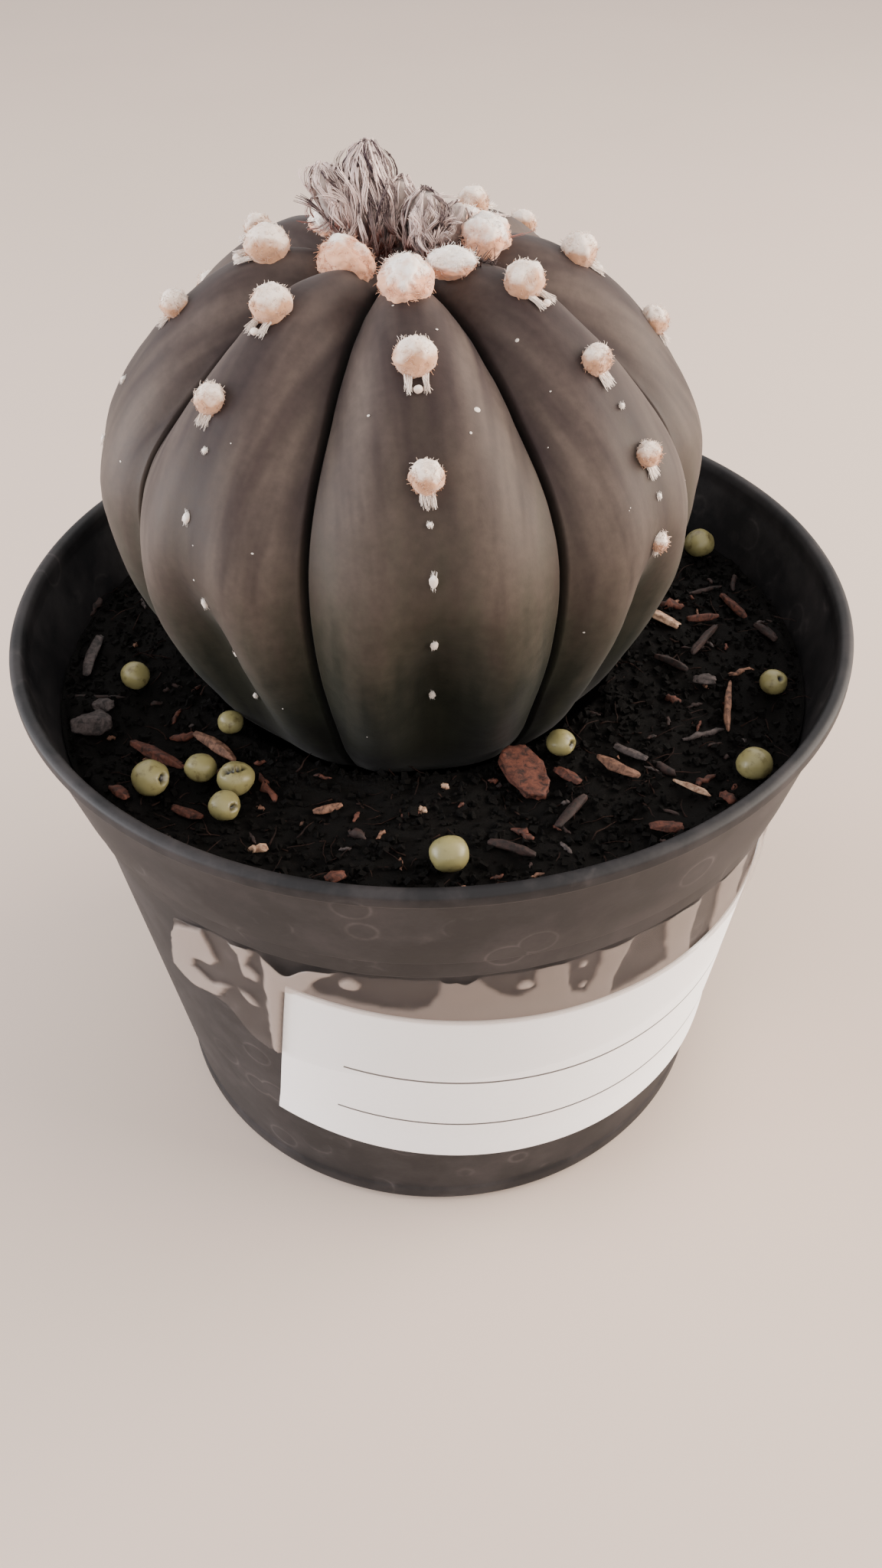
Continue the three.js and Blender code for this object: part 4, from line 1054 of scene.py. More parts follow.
def build_cushions(settings):
    """The crown's wool, and the dried bloom between its cushions."""
    material = areole_wool("crown_wool", settings.light, settings.shade)
    cores, fibres = Batch(), Batch()
    crest_reach, crest_z = np.array(CREST[:4], float).T
    for rib, (x, y, half_width, half_length, height, shade_bias) in enumerate(CUSHIONS):
        reach = math.hypot(x - STEM_X, y - STEM_Y)
        centre = (x, y, 0.3 + np.interp(reach, crest_reach, crest_z))
        _, axes = skin_frame(CUSHION_STATION, rib)
        size = np.array([half_width, half_length, height])
        wool_core(cores, centre, axes, size * 0.97, 5, 31 + rib, 0.2, shade_bias)
        wool_fibres(fibres, centre, axes, size, settings.crown_fibres, 0.6, settings.fibre / MM,
                    51 + rib, shade_bias=shade_bias)
    cores.piece("crown_cushions", material, "bud_wool")
    fibres.piece("crown_cushion_fibres", material, "bud_wool")

    draw = np.random.RandomState(SEEDS["bloom"])
    count = DRIED_HAIRS
    spots = DRIED_BLOOM + draw.normal(size=(count, 2)) * 0.75
    roots = np.array([on_stem(x, y) for x, y in spots])
    headings = draw.normal(size=(count, 3)) * (0.8, 0.8, 0.2) + (0.2, -0.3, 0.6)
    hairs = grown_hairs(roots, headings, draw.uniform(0.8, 1.8, count), 5, draw, 0.3,
                        (0.09, 0.03), 1, (0.7, 1.2))
    _, finish = new_material("dried_bloom")
    dried = finish(Base_Color=linear("2f1a17"), Roughness=0.7)
    new_piece("dried_bloom_hairs", *hairs, dried, "bud_wool")


def build_balls(settings):
    """A ball of wool at each large areole, with its tail of one or two locks."""
    material = areole_wool("areole_wool", settings.ball_light, settings.ball_shade)
    white = areole_wool("tail_wool", linear("f1e3d8"), linear("d9bfae"))
    cores, fibres, tails = Batch(), Batch(), Batch()
    draw = np.random.RandomState(SEEDS["balls"])
    radius = settings.fibre / MM
    for rib, marks in enumerate(RIBS):
        for order, (station, across, half) in enumerate(marks["balls"]):
            place, axes = skin_frame(station, rib, across)
            side, along, outward = axes
            size = half * np.array([draw.uniform(0.94, 1.02), draw.uniform(0.88, 1.04), 0.92])
            centre = place + outward * half * BALL_RISE
            seed = 71 + 5 * rib + order
            wool_core(cores, centre, axes, size * 0.97, 4, seed, 0.15)
            wool_fibres(fibres, centre, axes, size, settings.ball_fibres, 0.48, radius, seed, 4)
            foot = place + along * half * 0.72
            if order == 0:
                for hand in (-1, 1):
                    start = foot + side * hand * half * 0.36
                    wool_lock(tails, start, along + side * hand * 0.06, 0.36, outward, 1.8, 60,
                              radius * 1.4, draw)
                knob = place + along * half * 1.42 + outward * 0.1
                wool_core(tails, knob, axes, np.array([0.42, 0.38, 0.3]), 2, seed)
            else:
                wool_lock(tails, foot, along, half * 0.42, outward, half * 1.1, 80,
                          radius * 1.4, draw, 0.06)
    cores.piece("areole_balls", material, "bud_wool")
    fibres.piece("areole_ball_fibres", material, "bud_wool")
    tails.piece("areole_tails", white, "bud_wool")


def build_dots(settings):
    """The small white tufts lower down the ribs: upright spindles of wool."""
    dots = Batch()
    draw = np.random.RandomState(SEEDS["dots"])
    for rib, marks in enumerate(RIBS):
        for number, (station, across, half_length) in enumerate(marks["dots"]):
            place, axes = skin_frame(station, rib, across)
            _, along, outward = axes
            size = np.array([0.13 + 0.28 * half_length, half_length * 0.62, 0.3])
            wool_core(dots, place + outward * 0.06, axes, size, 2, 10 * rib + number, 0.25)
            for way in (-1, 1):
                wool_lock(dots, place - along * way * half_length * 0.2, along * way, 0.3, outward,
                          half_length * 1.2, 16, settings.fibre / MM, draw)
    material = areole_wool("dot_wool", linear("f5ece4"), linear("d8c6b8"))
    dots.piece("areole_dots", material, "bud_wool")


@functools.lru_cache(maxsize=None)
def stem_tree():
    """The stem's skin, to root hairs in."""
    return surface_tree(bpy.data.objects["cactus_stem"].data)


def on_stem(x, y):
    """The place on top of the stem under a point, in millimetres."""
    return np.array(below(stem_tree(), x, y)) / MM


# --- Flower buds ---

# Each bud is one or more tufts of hair, as [place, tip from there, radius, number of locks, lean
# of its loose ends, share of dark locks].
BUDS = {
    "tall": {"node": "flower_bud_tall", "seed": 21, "tufts": [
        ((-4.8, 6.8), (0, 0.2, 10.9), 2.8, 70, (-0.5, -0.3), 0.34),
        ((-6.2, 6.6), (-2.7, -0.6, 7.4), 2.0, 44, (-1, -0.2), 0.2),
        ((-2.6, 6.8), (1.0, 0.1, 6.4), 1.6, 24, (0.6, -0.2), 0.12)]},
    "short": {"node": "flower_bud_short", "seed": 22, "tufts": [
        ((0.8, 4.6), (-0.4, -0.3, 7.6), 2.2, 44, (0.2, -0.4), 0.32),
        ((2.2, 4.4), (1.2, -0.3, 5.0), 1.5, 22, (0.8, -0.2), 0.35)]},
}
# The dome that the hairs follow, as [share of the height, share of the radius].
DOME = [(0, 0.5), (0.15, 0.78), (0.4, 1), (0.62, 0.98), (0.8, 0.84), (0.92, 0.55), (1, 0.15)]
LOCK_HAIRS, HAIR_STEPS = 10, 10
DARK_HAIR_SHARE, DARK_HAIR_TONE = 0.13, 0.65  # single dark hairs among the pale ones
FOOT_HAIRS, FOOT_HAIR_STEPS = 700, 6


def dome_radius(share):
    """The dome's share of the tuft's radius at a share of its height."""
    return np.interp(share, [height for height, _ in DOME], [radius for _, radius in DOME])


def bud_core(batch, foot, tip, radius):
    """The scaly inside of a tuft, under its hairs."""
    rows, around = 20, 36
    turns = np.linspace(0, 2 * math.pi, around, endpoint=False)
    layers = []
    for share in np.linspace(0, 0.95, rows):
        ripple = 1 + 0.08 * np.cos(turns * 7 + share * 40)
        reach = dome_radius(share) * radius * 0.8 * ripple
        layers.append(foot + tip * share + circle(1, 0, turns) * reach[:, None])
    faces = grid_faces(rows, around, wrap=True)
    last = (rows - 1) * around
    faces += [list(range(around))[::-1], list(range(last, last + around))]
    batch.add(np.concatenate(layers), faces, up=np.repeat(np.linspace(0, 1, rows), around))


def bud_locks(batch, foot, tip, radius, count, lean, dark_share, hair, draw):
    """Wavy locks of hair over a tuft. Half of them rise to its top and half fall from it."""
    hairs = count * LOCK_HAIRS

    def lock(values):
        return np.repeat(values, LOCK_HAIRS)

    def level_vectors(x, y):
        return np.stack([x, y, np.zeros(hairs)], axis=1)

    turn = lock(draw.uniform(0, 2 * math.pi, count))
    lean = np.array([*lean, 0.0])
    # 1 on the side that the loose ends lean to
    toward = np.clip(level_vectors(np.cos(turn), np.sin(turn)) @ unit(lean), 0, 1)
    rising = lock(draw.random_sample(count) < 0.5)
    low = lock(draw.uniform(0.1, 0.35, count))
    high = low + lock(draw.uniform(0.5, 0.9, count))
    high = np.minimum(high, 1.02) - 0.04 * draw.random_sample(hairs)
    begin, finish = np.where(rising, low, high), np.where(rising, high, low)
    depth = lock(draw.uniform(0.9, 1.08, count)) + draw.normal(size=hairs) * 0.03
    flick = lock(draw.uniform(0, 1, count) ** 2) * (0.5 + 1.7 * toward)
    flick = flick * draw.uniform(0.6, 1.2, hairs)
    twist = lock(draw.normal(size=count) * 0.35)
    offset = draw.normal(size=hairs) * 0.24
    wave = lock(draw.uniform(0.14, 0.44, count))
    phase = lock(draw.uniform(0, 6.28, count)) + draw.normal(size=hairs) * 0.3
    turns = lock(draw.uniform(6, 11, count))
    lift = np.where(rising, -0.5, 0.8)
    path = []
    for t in np.linspace(0, 1, HAIR_STEPS):
        share = begin + (finish - begin) * t
        angle = turn + twist * t
        ring = level_vectors(np.cos(angle), np.sin(angle))
        beside = level_vectors(-ring[:, 1], ring[:, 0])
        reach = dome_radius(share) * radius * depth
        loose = 0.7 * ring + lean * toward[:, None]
        loose = (flick * max(t - 0.4, 0) ** 1.5 * 4)[:, None] * loose
        curl = (flick * lift * max(t - 0.6, 0) ** 2 * 7)[:, None] * np.array([0, 0, 1.0])
        ripple = (wave * np.sin(phase + turns * t) + offset * (1 - 0.6 * t))[:, None] * beside
        swing = (0.5 * wave * np.cos(phase + turns * t))[:, None] * ring
        place = foot + tip * share[:, None] + ring * reach[:, None]
        path.append(place + loose + curl + ripple + swing)
    kind = draw.random_sample(count)
    tone = np.where(kind < dark_share, draw.uniform(0.75, 1, count), draw.uniform(0, 0.14, count))
    tone = np.where(kind > 0.82, draw.uniform(0.3, 0.5, count), tone)
    single = np.where(draw.random_sample(hairs) < DARK_HAIR_SHARE, DARK_HAIR_TONE, 0)
    tone = np.clip(lock(tone) + single + draw.normal(size=hairs) * 0.06, 0, 1)
    spread = draw.uniform(0.55, 1.05, hairs)[:, None]
    radii = np.linspace(1, 0.35, HAIR_STEPS)[None] * hair * spread
    along = along_strands(hairs, HAIR_STEPS)
    along = np.where(per_strand(rising, HAIR_STEPS), along, 1 - along)
    batch.add(*strands(np.stack(path, axis=1), radii), along=along,
              tone=per_strand(tone, HAIR_STEPS))


def build_bud(name, bud, hair_material, scale_material, hair):
    """One bud: a scaly core and its hairs for each tuft."""
    draw = np.random.RandomState(bud["seed"])
    cores, hairs = Batch(), Batch()
    for at, tip, radius, count, lean, dark_share in bud["tufts"]:
        foot = on_stem(*at) - (0, 0, 0.3)
        tip = np.array(tip, float)
        bud_core(cores, foot, tip, radius)
        bud_locks(hairs, foot, tip, radius, count, lean, dark_share, hair, draw)
    cores.piece(f"bud_{name}_scales", scale_material, "bud_wool", bud["node"])
    hairs.piece(f"bud_{name}_hairs", hair_material, "bud_wool")


def build_buds(settings):
    """The two buds, and the warm brown wool packed round their feet."""
    material = bud_hair(settings)
    hair = settings.hair / MM
    scales = areole_wool("bud_scales", linear("a89890"), linear("5c3c35"))
    for name, bud in BUDS.items():
        build_bud(name, bud, material, scales, hair)

    draw = np.random.RandomState(SEEDS["foot"])
    count, steps = FOOT_HAIRS, FOOT_HAIR_STEPS
    centres = np.array([tuft[0] for bud in BUDS.values() for tuft in bud["tufts"]])
    chosen = centres[draw.randint(len(centres), size=count)]
    turn = draw.uniform(0, 2 * math.pi, count)
    reach = draw.uniform(0.8, 2.6, count)
    spots = chosen + np.stack([np.cos(turn), np.sin(turn)], axis=1) * reach[:, None]
    roots = np.array([on_stem(x, y) for x, y in spots])
    headings = draw.normal(size=(count, 3)) * (0.6, 0.6, 0.15) + (0, 0, 0.8)
    points, faces = grown_hairs(roots, headings, draw.uniform(0.9, 2.4, count), steps, draw, 0.3,
                                (1, 0.4), hair, (0.5, 0.9))
    values = {"along": along_strands(count, steps) * 0.25,
              "tone": per_strand(draw.uniform(0, 0.6, count), steps)}
    new_piece("bud_foot_wool", points, faces, material, "bud_wool", values=values)


# --- Fertiliser prills and bark ---

# Pits in the prills, by the prill's number: [direction, width, depth], in prill radii.
PITS = {
    3: [((0.85, -0.45, 0.35), 0.34, 0.3)],
    5: [((-0.45, -0.25, 0.85), 0.26, 0.35), ((-0.1, -0.2, 0.95), 0.2, 0.35),
        ((0.25, -0.1, 0.95), 0.2, 0.35), ((0.5, 0.1, 0.85), 0.16, 0.3)],
    6: [((0.7, -0.55, 0.45), 0.26, 0.3)],
    8: [((0.8, -0.5, 0.2), 0.42, 0.35)],
    10: [((0.3, -0.5, 0.8), 0.28, 0.2)],
}


def build_prills(settings):
    """The resin beads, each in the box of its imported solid."""
    material = fertiliser_resin(settings)
    ball, faces = icosphere(4)
    for node in sorted(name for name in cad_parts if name.startswith("prill_")):
        number = int(node[-2:])
        low, high = (np.array(corner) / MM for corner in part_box(node))
        swell = 1 + 0.07 * lumps(ball, 0.9, number) + 0.02 * lumps(ball, 0.25, number + 40)
        pit = np.zeros(len(ball))
        for direction, width, depth in PITS.get(number, ()):
            distance = np.linalg.norm(ball - unit(np.array(direction)), axis=1)
            ragged = distance + 0.09 * lumps(ball, 0.16, number)
            bite = 1 - smoothstep(ragged, width * 0.65, width)
            pit = np.maximum(pit, bite)
            swell -= bite * depth
        points = ball * swell[:, None] * (high - low) / 2 + (low + high) / 2
        new_piece(f"prill_bead_{number:02d}", points, faces, material, "prill_resin", node,
                  {"pit": pit})


BARK_COLOURS = {
    "red": ("673a2c", "25130f"), "pale": ("8c6652", "3f271e"), "grey": ("564b49", "1f1a1a"),
    "dark": ("372420", "120b0a"), "cream": ("c9a78c", "7a5845"),
}
CHIP_KINDS = (
    "red pale red grey grey red grey red pale grey dark cream red dark red dark dark grey pale "
    "cream red dark pale red red dark grey pale red").split()

# Small bits that lie on the mix, as [from x, from y, to x, to y, width, kind].
BITS = [
    (-28, -13.5, -25.1, -13.3, 0.9, "red"), (-40.2, -6.3, -33.6, -7.2, 0.5, "dark"),
    (-40, 12.7, -41, 9.1, 1, "dark"), (-18.1, -30.7, -16.2, -30.5, 1, "cream"),
    (-3.8, -27.4, -1.3, -26.4, 0.5, "red"), (-8.4, -28.6, -6.7, -30, 1, "dark"),
    (-17.8, -20.2, -15.9, -24.5, 0.9, "red"), (7.4, -28.7, 9.5, -30.3, 0.9, "red"),
    (28.7, -23.7, 29.8, -25.7, 1.2, "red"), (26, -23, 28.7, -21.1, 0.7, "red"),
    (26, -16.3, 30.7, -14.1, 0.8, "grey"), (25.3, -8.8, 26.7, -10, 0.9, "red"),
    (22.2, -19.8, 24.6, -21.4, 1, "dark"), (30.4, 9.7, 34.8, 11.3, 0.6, "dark"),
    (37.2, 15, 36.1, 10.6, 0.7, "dark"), (26.8, 7.4, 29.6, 7.2, 1.2, "red"),
    (32.4, -5.7, 35.5, -5.2, 0.6, "pale"), (0.7, -22.4, 1.5, -22.7, 0.7, "cream"),
    (-1.5, -26, -0.8, -26.6, 0.7, "cream"), (-17.5, -24.8, -17, -25.4, 0.6, "pale"),
]
FINE_BITS = 90  # more of them, at random places
BIT_FULLNESS = [0.3, 0.8, 1, 1.05, 0.9, 0.75, 0.25]  # along a bit, as shares of its width


def build_bark():
    """The chips, the flake and the litter of pine bark."""
    kinds = {kind: pine_bark(f"pine_bark_{kind}", *shades) for kind, shades in BARK_COLOURS.items()}
    for number, kind in enumerate(CHIP_KINDS, start=1):
        shredded(f"bark_strip_{number:02d}", f"bark_chip_{number:02d}", kinds[kind], 3, 0.16)
    shredded("bark_plate", "bark_flake", kinds["red"], 5, 0.22)
    build_bits(kinds)


def shredded(name, node, material, cuts, roughness):
    """A copy of a packed bit of bark with a torn, fibrous surface."""
    form = bmesh.new()
    form.from_mesh(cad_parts[node].data)
    bmesh.ops.remove_doubles(form, verts=form.verts, dist=1e-6)
    bmesh.ops.subdivide_edges(form, edges=form.edges, cuts=cuts, use_grid_fill=True)
    bmesh.ops.smooth_vert(form, verts=form.verts, factor=0.35, use_axis_x=True, use_axis_y=True,
                          use_axis_z=True)
    points = np.array([vertex.co[:] for vertex in form.verts]) / MM
    faces = [[vertex.index for vertex in face.verts] for face in form.faces]
    form.normal_update()
    normals = np.array([vertex.normal[:] for vertex in form.verts])
    form.free()
    spread = points - points.mean(axis=0)
    _, _, directions = np.linalg.svd(spread, full_matrices=False)
    grain = spread @ directions.T * (0.28, 2.6, 2.6)  # long fibres along the piece
    rough = roughness * lumps(grain, 1, len(name)) + 0.6 * roughness * lumps(grain, 0.4, 9)
    new_piece(name, points + normals * rough[:, None], faces, material, "bark", node)


def build_bits(kinds):
    """Small splinters of bark, and the finer litter between them."""
    draw = np.random.RandomState(SEEDS["bits"])
    rows = list(BITS)
    for _ in range(FINE_BITS):
        x, y = spot_on_mix(draw, 2.5)
        turn, length = draw.uniform(0, 6.28), draw.uniform(0.5, 2.2)
        kind = ("red", "dark", "dark", "grey", "pale")[draw.randint(5)]
        rows.append((x, y, x + length * math.cos(turn), y + length * math.sin(turn),
                     draw.uniform(0.25, 0.55), kind))
    batches = {kind: Batch() for kind in kinds}
    steps, sides = len(BIT_FULLNESS), 6
    for from_x, from_y, to_x, to_y, width, kind in rows:
        start = np.array([from_x, from_y, ground(from_x, from_y) + 0.3])
        end = np.array([to_x, to_y, ground(to_x, to_y) + 0.3])
        path = start + (end - start) * np.linspace(0, 1, steps)[:, None]
        path[1:-1] += draw.normal(size=(steps - 2, 3)) * width * 0.14
        fullness = np.array(BIT_FULLNESS) * draw.uniform(0.8, 1.15, steps)
        points, faces = strands(path[None], (fullness * width / 2)[None], sides)
        batches[kind].add(points + draw.normal(size=points.shape) * width * 0.05, faces)
    for kind, batch in batches.items():
        batch.piece(f"bark_litter_{kind}", kinds[kind], "bark")


# --- Label and tape ---

# The label's two ruled lines, with their heights from the middle of the paper.
RULE_HEIGHTS = (2.2, -7.4)
RULE_WIDTH = 0.35
RULE_LENGTH = 56

WALL_LEAN = math.sin(math.atan(WALL_SLOPE))


def wall_radius(z):
    """The pot's outer radius at a height of its tapered wall."""
    return WALL_FOOT_RADIUS + WALL_SLOPE * (z - WALL_FOOT_Z)


APEX_TO_LABEL = wall_radius(LABEL_Z) / WALL_LEAN


def wall_points(azimuth, z, stand):
    """Places at a clearance from the pot's wall."""
    out = wall_radius(z) + stand
    return np.stack([out * np.cos(azimuth), out * np.sin(azimuth), z + 0 * out], axis=-1)


def from_label(x, y):
    """Rolls points of the flat label onto the wall, as bearings and heights."""
    tilt = math.radians(LABEL_TILT)
    run = x * math.cos(tilt) - y * math.sin(tilt)
    rise = APEX_TO_LABEL + x * math.sin(tilt) + y * math.cos(tilt)
    z = WALL_FOOT_Z + (np.hypot(run, rise) * WALL_LEAN - WALL_FOOT_RADIUS) / WALL_SLOPE
    return math.radians(LABEL_AZIMUTH) + np.arctan2(run, rise) / WALL_LEAN, z


def to_label(azimuth, z):
    """Where on the flat label points of the wall lie."""
    tilt = math.radians(LABEL_TILT)
    turn = (azimuth - math.radians(LABEL_AZIMUTH)) * WALL_LEAN
    reach = wall_radius(z) / WALL_LEAN
    run, rise = reach * np.sin(turn), reach * np.cos(turn) - APEX_TO_LABEL
    return (run * math.cos(tilt) + rise * math.sin(tilt),
            rise * math.cos(tilt) - run * math.sin(tilt))


def wall_sheet(azimuth, z, stand, thickness):
    """A thin closed sheet over the wall, from grids of its bearings, heights and clearances."""
    rows, columns = z.shape
    count = rows * columns
    front, back = wall_points(azimuth, z, stand + thickness), wall_points(azimuth, z, stand)
    points = np.concatenate([front.reshape(-1, 3), back.reshape(-1, 3)])
    faces = grid_faces(rows, columns) + [face[::-1] for face in grid_faces(rows, columns, count)]
    edge = list(range(columns))
    edge += [row * columns + columns - 1 for row in range(1, rows)]
    edge += [(rows - 1) * columns + column for column in range(columns - 2, -1, -1)]
    edge += [row * columns for row in range(rows - 2, 0, -1)]
    faces += [[b, a, a + count, b + count] for a, b in zip(edge, edge[1:] + edge[:1])]
    return points, faces


def build_label(settings):
    """The paper label, rolled round the wall with its lower edge a little free."""
    columns, rows = 100, 32
    x, y = np.meshgrid(np.linspace(LABEL_LEFT, LABEL_LEFT + LABEL_WIDTH, columns),
                       np.linspace(-LABEL_HEIGHT / 2, LABEL_HEIGHT / 2, rows))
    azimuth, z = from_label(x, y)
    flat = np.stack([x.ravel(), y.ravel(), np.zeros(x.size)], axis=1)
    ripple = 0.05 * lumps(flat, 11, 5).reshape(x.shape)
    free_edge = smoothstep(-y, LABEL_HEIGHT / 2 - 5, LABEL_HEIGHT / 2)
    stand = SHEET_GAP + ripple + 0.25 * free_edge
    points, faces = wall_sheet(azimuth, z, stand, PAPER_THICKNESS)
    centred = flat - (LABEL_LEFT + LABEL_WIDTH / 2, 0, 0)
    behind = centred + (0, 1000, 0)  # keeps the rules off the back
    piece = new_piece("plant_label", points, faces, printer_paper(settings), "label_paper", "label",
                      {"sheet": np.concatenate([centred, behind])})
    piece.data.set_sharp_from_angle(angle=SHARP_EDGE)


# Outlines on the wall, as [bearing in degrees, height]: where air is caught under the tape
# beside the label, and where the tape above the label sticks down.
AIR_POCKETS = [
    [(-133.5, 45.6), (-130.5, 48.2), (-125.2, 50), (-124, 45.4), (-125.8, 43.6), (-129.6, 43),
     (-131.2, 40.4), (-127, 39.6), (-123.2, 41), (-126.6, 37.4), (-133.5, 35.6), (-138, 37)],
    [(-121, 51.6), (-118, 51.6), (-116.4, 50.4), (-118.3, 47.6), (-116.2, 46.4), (-117.1, 45),
     (-119.4, 44.8), (-119.2, 49)],
    [(-121.4, 41.4), (-119.6, 41.2), (-118.4, 39.8), (-119.9, 39.6)],
    [(-114.6, 52), (-102.5, 52), (-107.2, 48.5), (-108.9, 46.6), (-111.4, 45.2), (-113, 38),
     (-115, 31), (-117.4, 32), (-116.2, 40), (-114.9, 49.5)],
]
STUCK_PATCHES = [
    [(-107.6, 48.2), (-105.7, 50.4), (-102.5, 51.9), (-90.3, 51.9), (-89.5, 50.4), (-89.8, 48.1),
     (-91.4, 46.3), (-93.6, 45.7), (-98, 46), (-104, 46.6), (-107.3, 46.9)],
    [(-85.8, 51.5), (-76.4, 51.5), (-76.7, 47.6), (-78.3, 46.4), (-81.7, 47.3)],
    [(-72.5, 51.5), (-67, 51.5), (-67.1, 46.6), (-68.5, 44.4), (-70.9, 44.8)],
    [(-61.8, 51.5), (-56.5, 51.5), (-53.9, 43), (-64.3, 42.6), (-64.1, 44)],
    [(-49.5, 51.5), (-45.5, 51.5), (-43, 44), (-44.5, 40), (-48.8, 41)],
    [(-38, 51.5), (-30, 51.5), (-31, 44.5), (-35.5, 42.5)],
    [(-24, 48.5), (-17, 49), (-15, 43), (-21, 40)],
]
GAP_AIR = 0.6  # how full of air the step above the label is
STUCK_HAZE, AIR_HAZE, LABEL_HAZE = 0.07, 0.48, 0.03
BUBBLES = [(-102.1, 49, 0.95), (-78, 48.3, 0.7), (-69.8, 49.3, 0.45), (-69.3, 45.6, 0.4)]


def polygon_distance(u, v, corners):
    """Signed distance to a polygon, below zero inside it."""
    points = np.stack([u, v], axis=-1)
    nearest = np.full(u.shape, np.inf)
    inside = np.zeros(u.shape, dtype=bool)
    for a, b in zip(corners, corners[1:] + corners[:1]):
        a, b = np.array(a, float), np.array(b, float)
        edge = b - a
        share = np.clip(((points - a) @ edge) / (edge @ edge), 0, 1)
        gap = points - (a + share[..., None] * edge)
        nearest = np.minimum(nearest, np.hypot(gap[..., 0], gap[..., 1]))
        crosses = (a[1] > v) != (b[1] > v)
        height = np.where(abs(edge[1]) < 1e-9, 1e-9, edge[1])
        inside ^= crosses & (u < edge[0] * (v - a[1]) / height + a[0])
    return np.where(inside, -nearest, nearest)


def caught_air(azimuth, z):
    """Share of air under the tape, from 0 where it sticks to 1 over a pocket, and its haze."""
    mm_per_degree = math.radians(1) * WALL_TOP_RADIUS
    along = np.degrees(azimuth) * mm_per_degree
    flat = np.stack([along.ravel(), z.ravel(), np.zeros(z.size)], axis=1)
    u = along + 0.32 * lumps(flat, 1.7, 8).reshape(z.shape)
    v = z + 0.32 * lumps(flat, 1.7, 9).reshape(z.shape)
    soft = 0.22

    def outside(outline):
        corners = [(bearing * mm_per_degree, height) for bearing, height in outline]
        return smoothstep(polygon_distance(u, v, corners), -soft, soft)

    air = np.zeros(z.shape)
    for outline in AIR_POCKETS:
        air = np.maximum(air, 1 - outside(outline))
    label_x, label_y = to_label(azimuth, z)
    above = smoothstep(label_y, LABEL_HEIGHT / 2 - 0.3, LABEL_HEIGHT / 2 + 0.2)
    above = above * smoothstep(label_x, LABEL_LEFT - 1, LABEL_LEFT)
    for outline in STUCK_PATCHES:
        above = np.minimum(above, outside(outline))
    air = np.maximum(air, above * GAP_AIR)
    for bearing, height, radius in BUBBLES:
        gap = np.hypot(u - bearing * mm_per_degree, v - height)
        air = np.maximum(air, 1 - smoothstep(gap, radius - soft, radius + soft))
    on_label = (1 - smoothstep(label_y, LABEL_HEIGHT / 2 - 0.4, LABEL_HEIGHT / 2)) * smoothstep(
        label_x, LABEL_LEFT - 0.2, LABEL_LEFT + 0.2)
    haze = STUCK_HAZE + (AIR_HAZE - STUCK_HAZE) * air
    return air * (1 - on_label), haze * (1 - on_label) + LABEL_HAZE * on_label


def build_tape(settings):
    """The clear film over the label's upper part, milky where air is caught."""
    columns, rows = 300, 60
    across, up = np.meshgrid(np.linspace(0, 1, columns), np.linspace(0, 1, rows))
    degrees = TAPE_FROM_AZIMUTH + (TAPE_TO_AZIMUTH - TAPE_FROM_AZIMUTH) * across
    degrees = degrees + 8 * up * (1 - smoothstep(across, 0, 0.14))
    bottom = TAPE_BOTTOM_Z + 4.6 * (1 - smoothstep(degrees, -126.5, -121.5))
    dips = sum(depth * np.exp(-((degrees - bearing) / width) ** 2)
               for bearing, depth, width in TAPE_DIPS)
    wave = 0.12 * np.sin(degrees * 0.9) * up
    z = bottom + (TAPE_TOP_Z - dips - bottom) * up + wave
    azimuth = np.radians(degrees)
    air, haze = caught_air(azimuth, z)
    label_x, label_y = to_label(azimuth, z)
    beside = smoothstep(label_x, LABEL_LEFT - 4, LABEL_LEFT - 1) * (
        1 - smoothstep(label_x, LABEL_LEFT + LABEL_WIDTH + 1, LABEL_LEFT + LABEL_WIDTH + 4))
    over = beside * (1 - smoothstep(label_y, LABEL_HEIGHT / 2 + 1, LABEL_HEIGHT / 2 + 4))
    stand = 0.2 + (SHEET_GAP + PAPER_THICKNESS) * over + 0.3 * air
    points, faces = wall_sheet(azimuth, z, stand, TAPE_THICKNESS)
    new_piece("clear_tape_film", points, faces, packing_tape(settings), "clear_tape", "tape",
              {"air": np.tile(air.ravel(), 2), "haze": np.tile(haze.ravel(), 2)})


# --- Stage ---

CAMERA_PLACE = (0.68, -118.52, 148.23)
CAMERA_PITCH, CAMERA_ROLL = 42.865, -1.288
SENSOR_HEIGHT = 36.0
IMAGE_HEIGHT = 2048
FOCAL_PIXELS = 1700
FLOOR_REACH = 3500
# The soft lights, as [name, width and height, place, colour].
LIGHTS = [
    ("key", (520, 420), (490, 20, 220), "fff2e4"),
    ("fill", (420, 420), (-540, -40, 160), "f1f2f6"),
    ("front", (600, 500), (130, -620, 330), "fffaf6"),
    ("back", (520, 320), (80, 450, 520), "fff9f4"),
]


def soft_light(name, power, size, place, hex_colour, aim=(0, 0, 70)):
    """A rectangular soft light that looks at the plant."""
    data = bpy.data.lights.new(name, "AREA")
    data.shape = "RECTANGLE"
    data.size, data.size_y = (side * MM for side in size)
    data.energy = power
    data.color = linear(hex_colour)
    light = new_object(name, data)
    light.location = Vector(place) * MM
    light.rotation_euler = (Vector(aim) - Vector(place)).to_track_quat("-Z", "Y").to_euler()


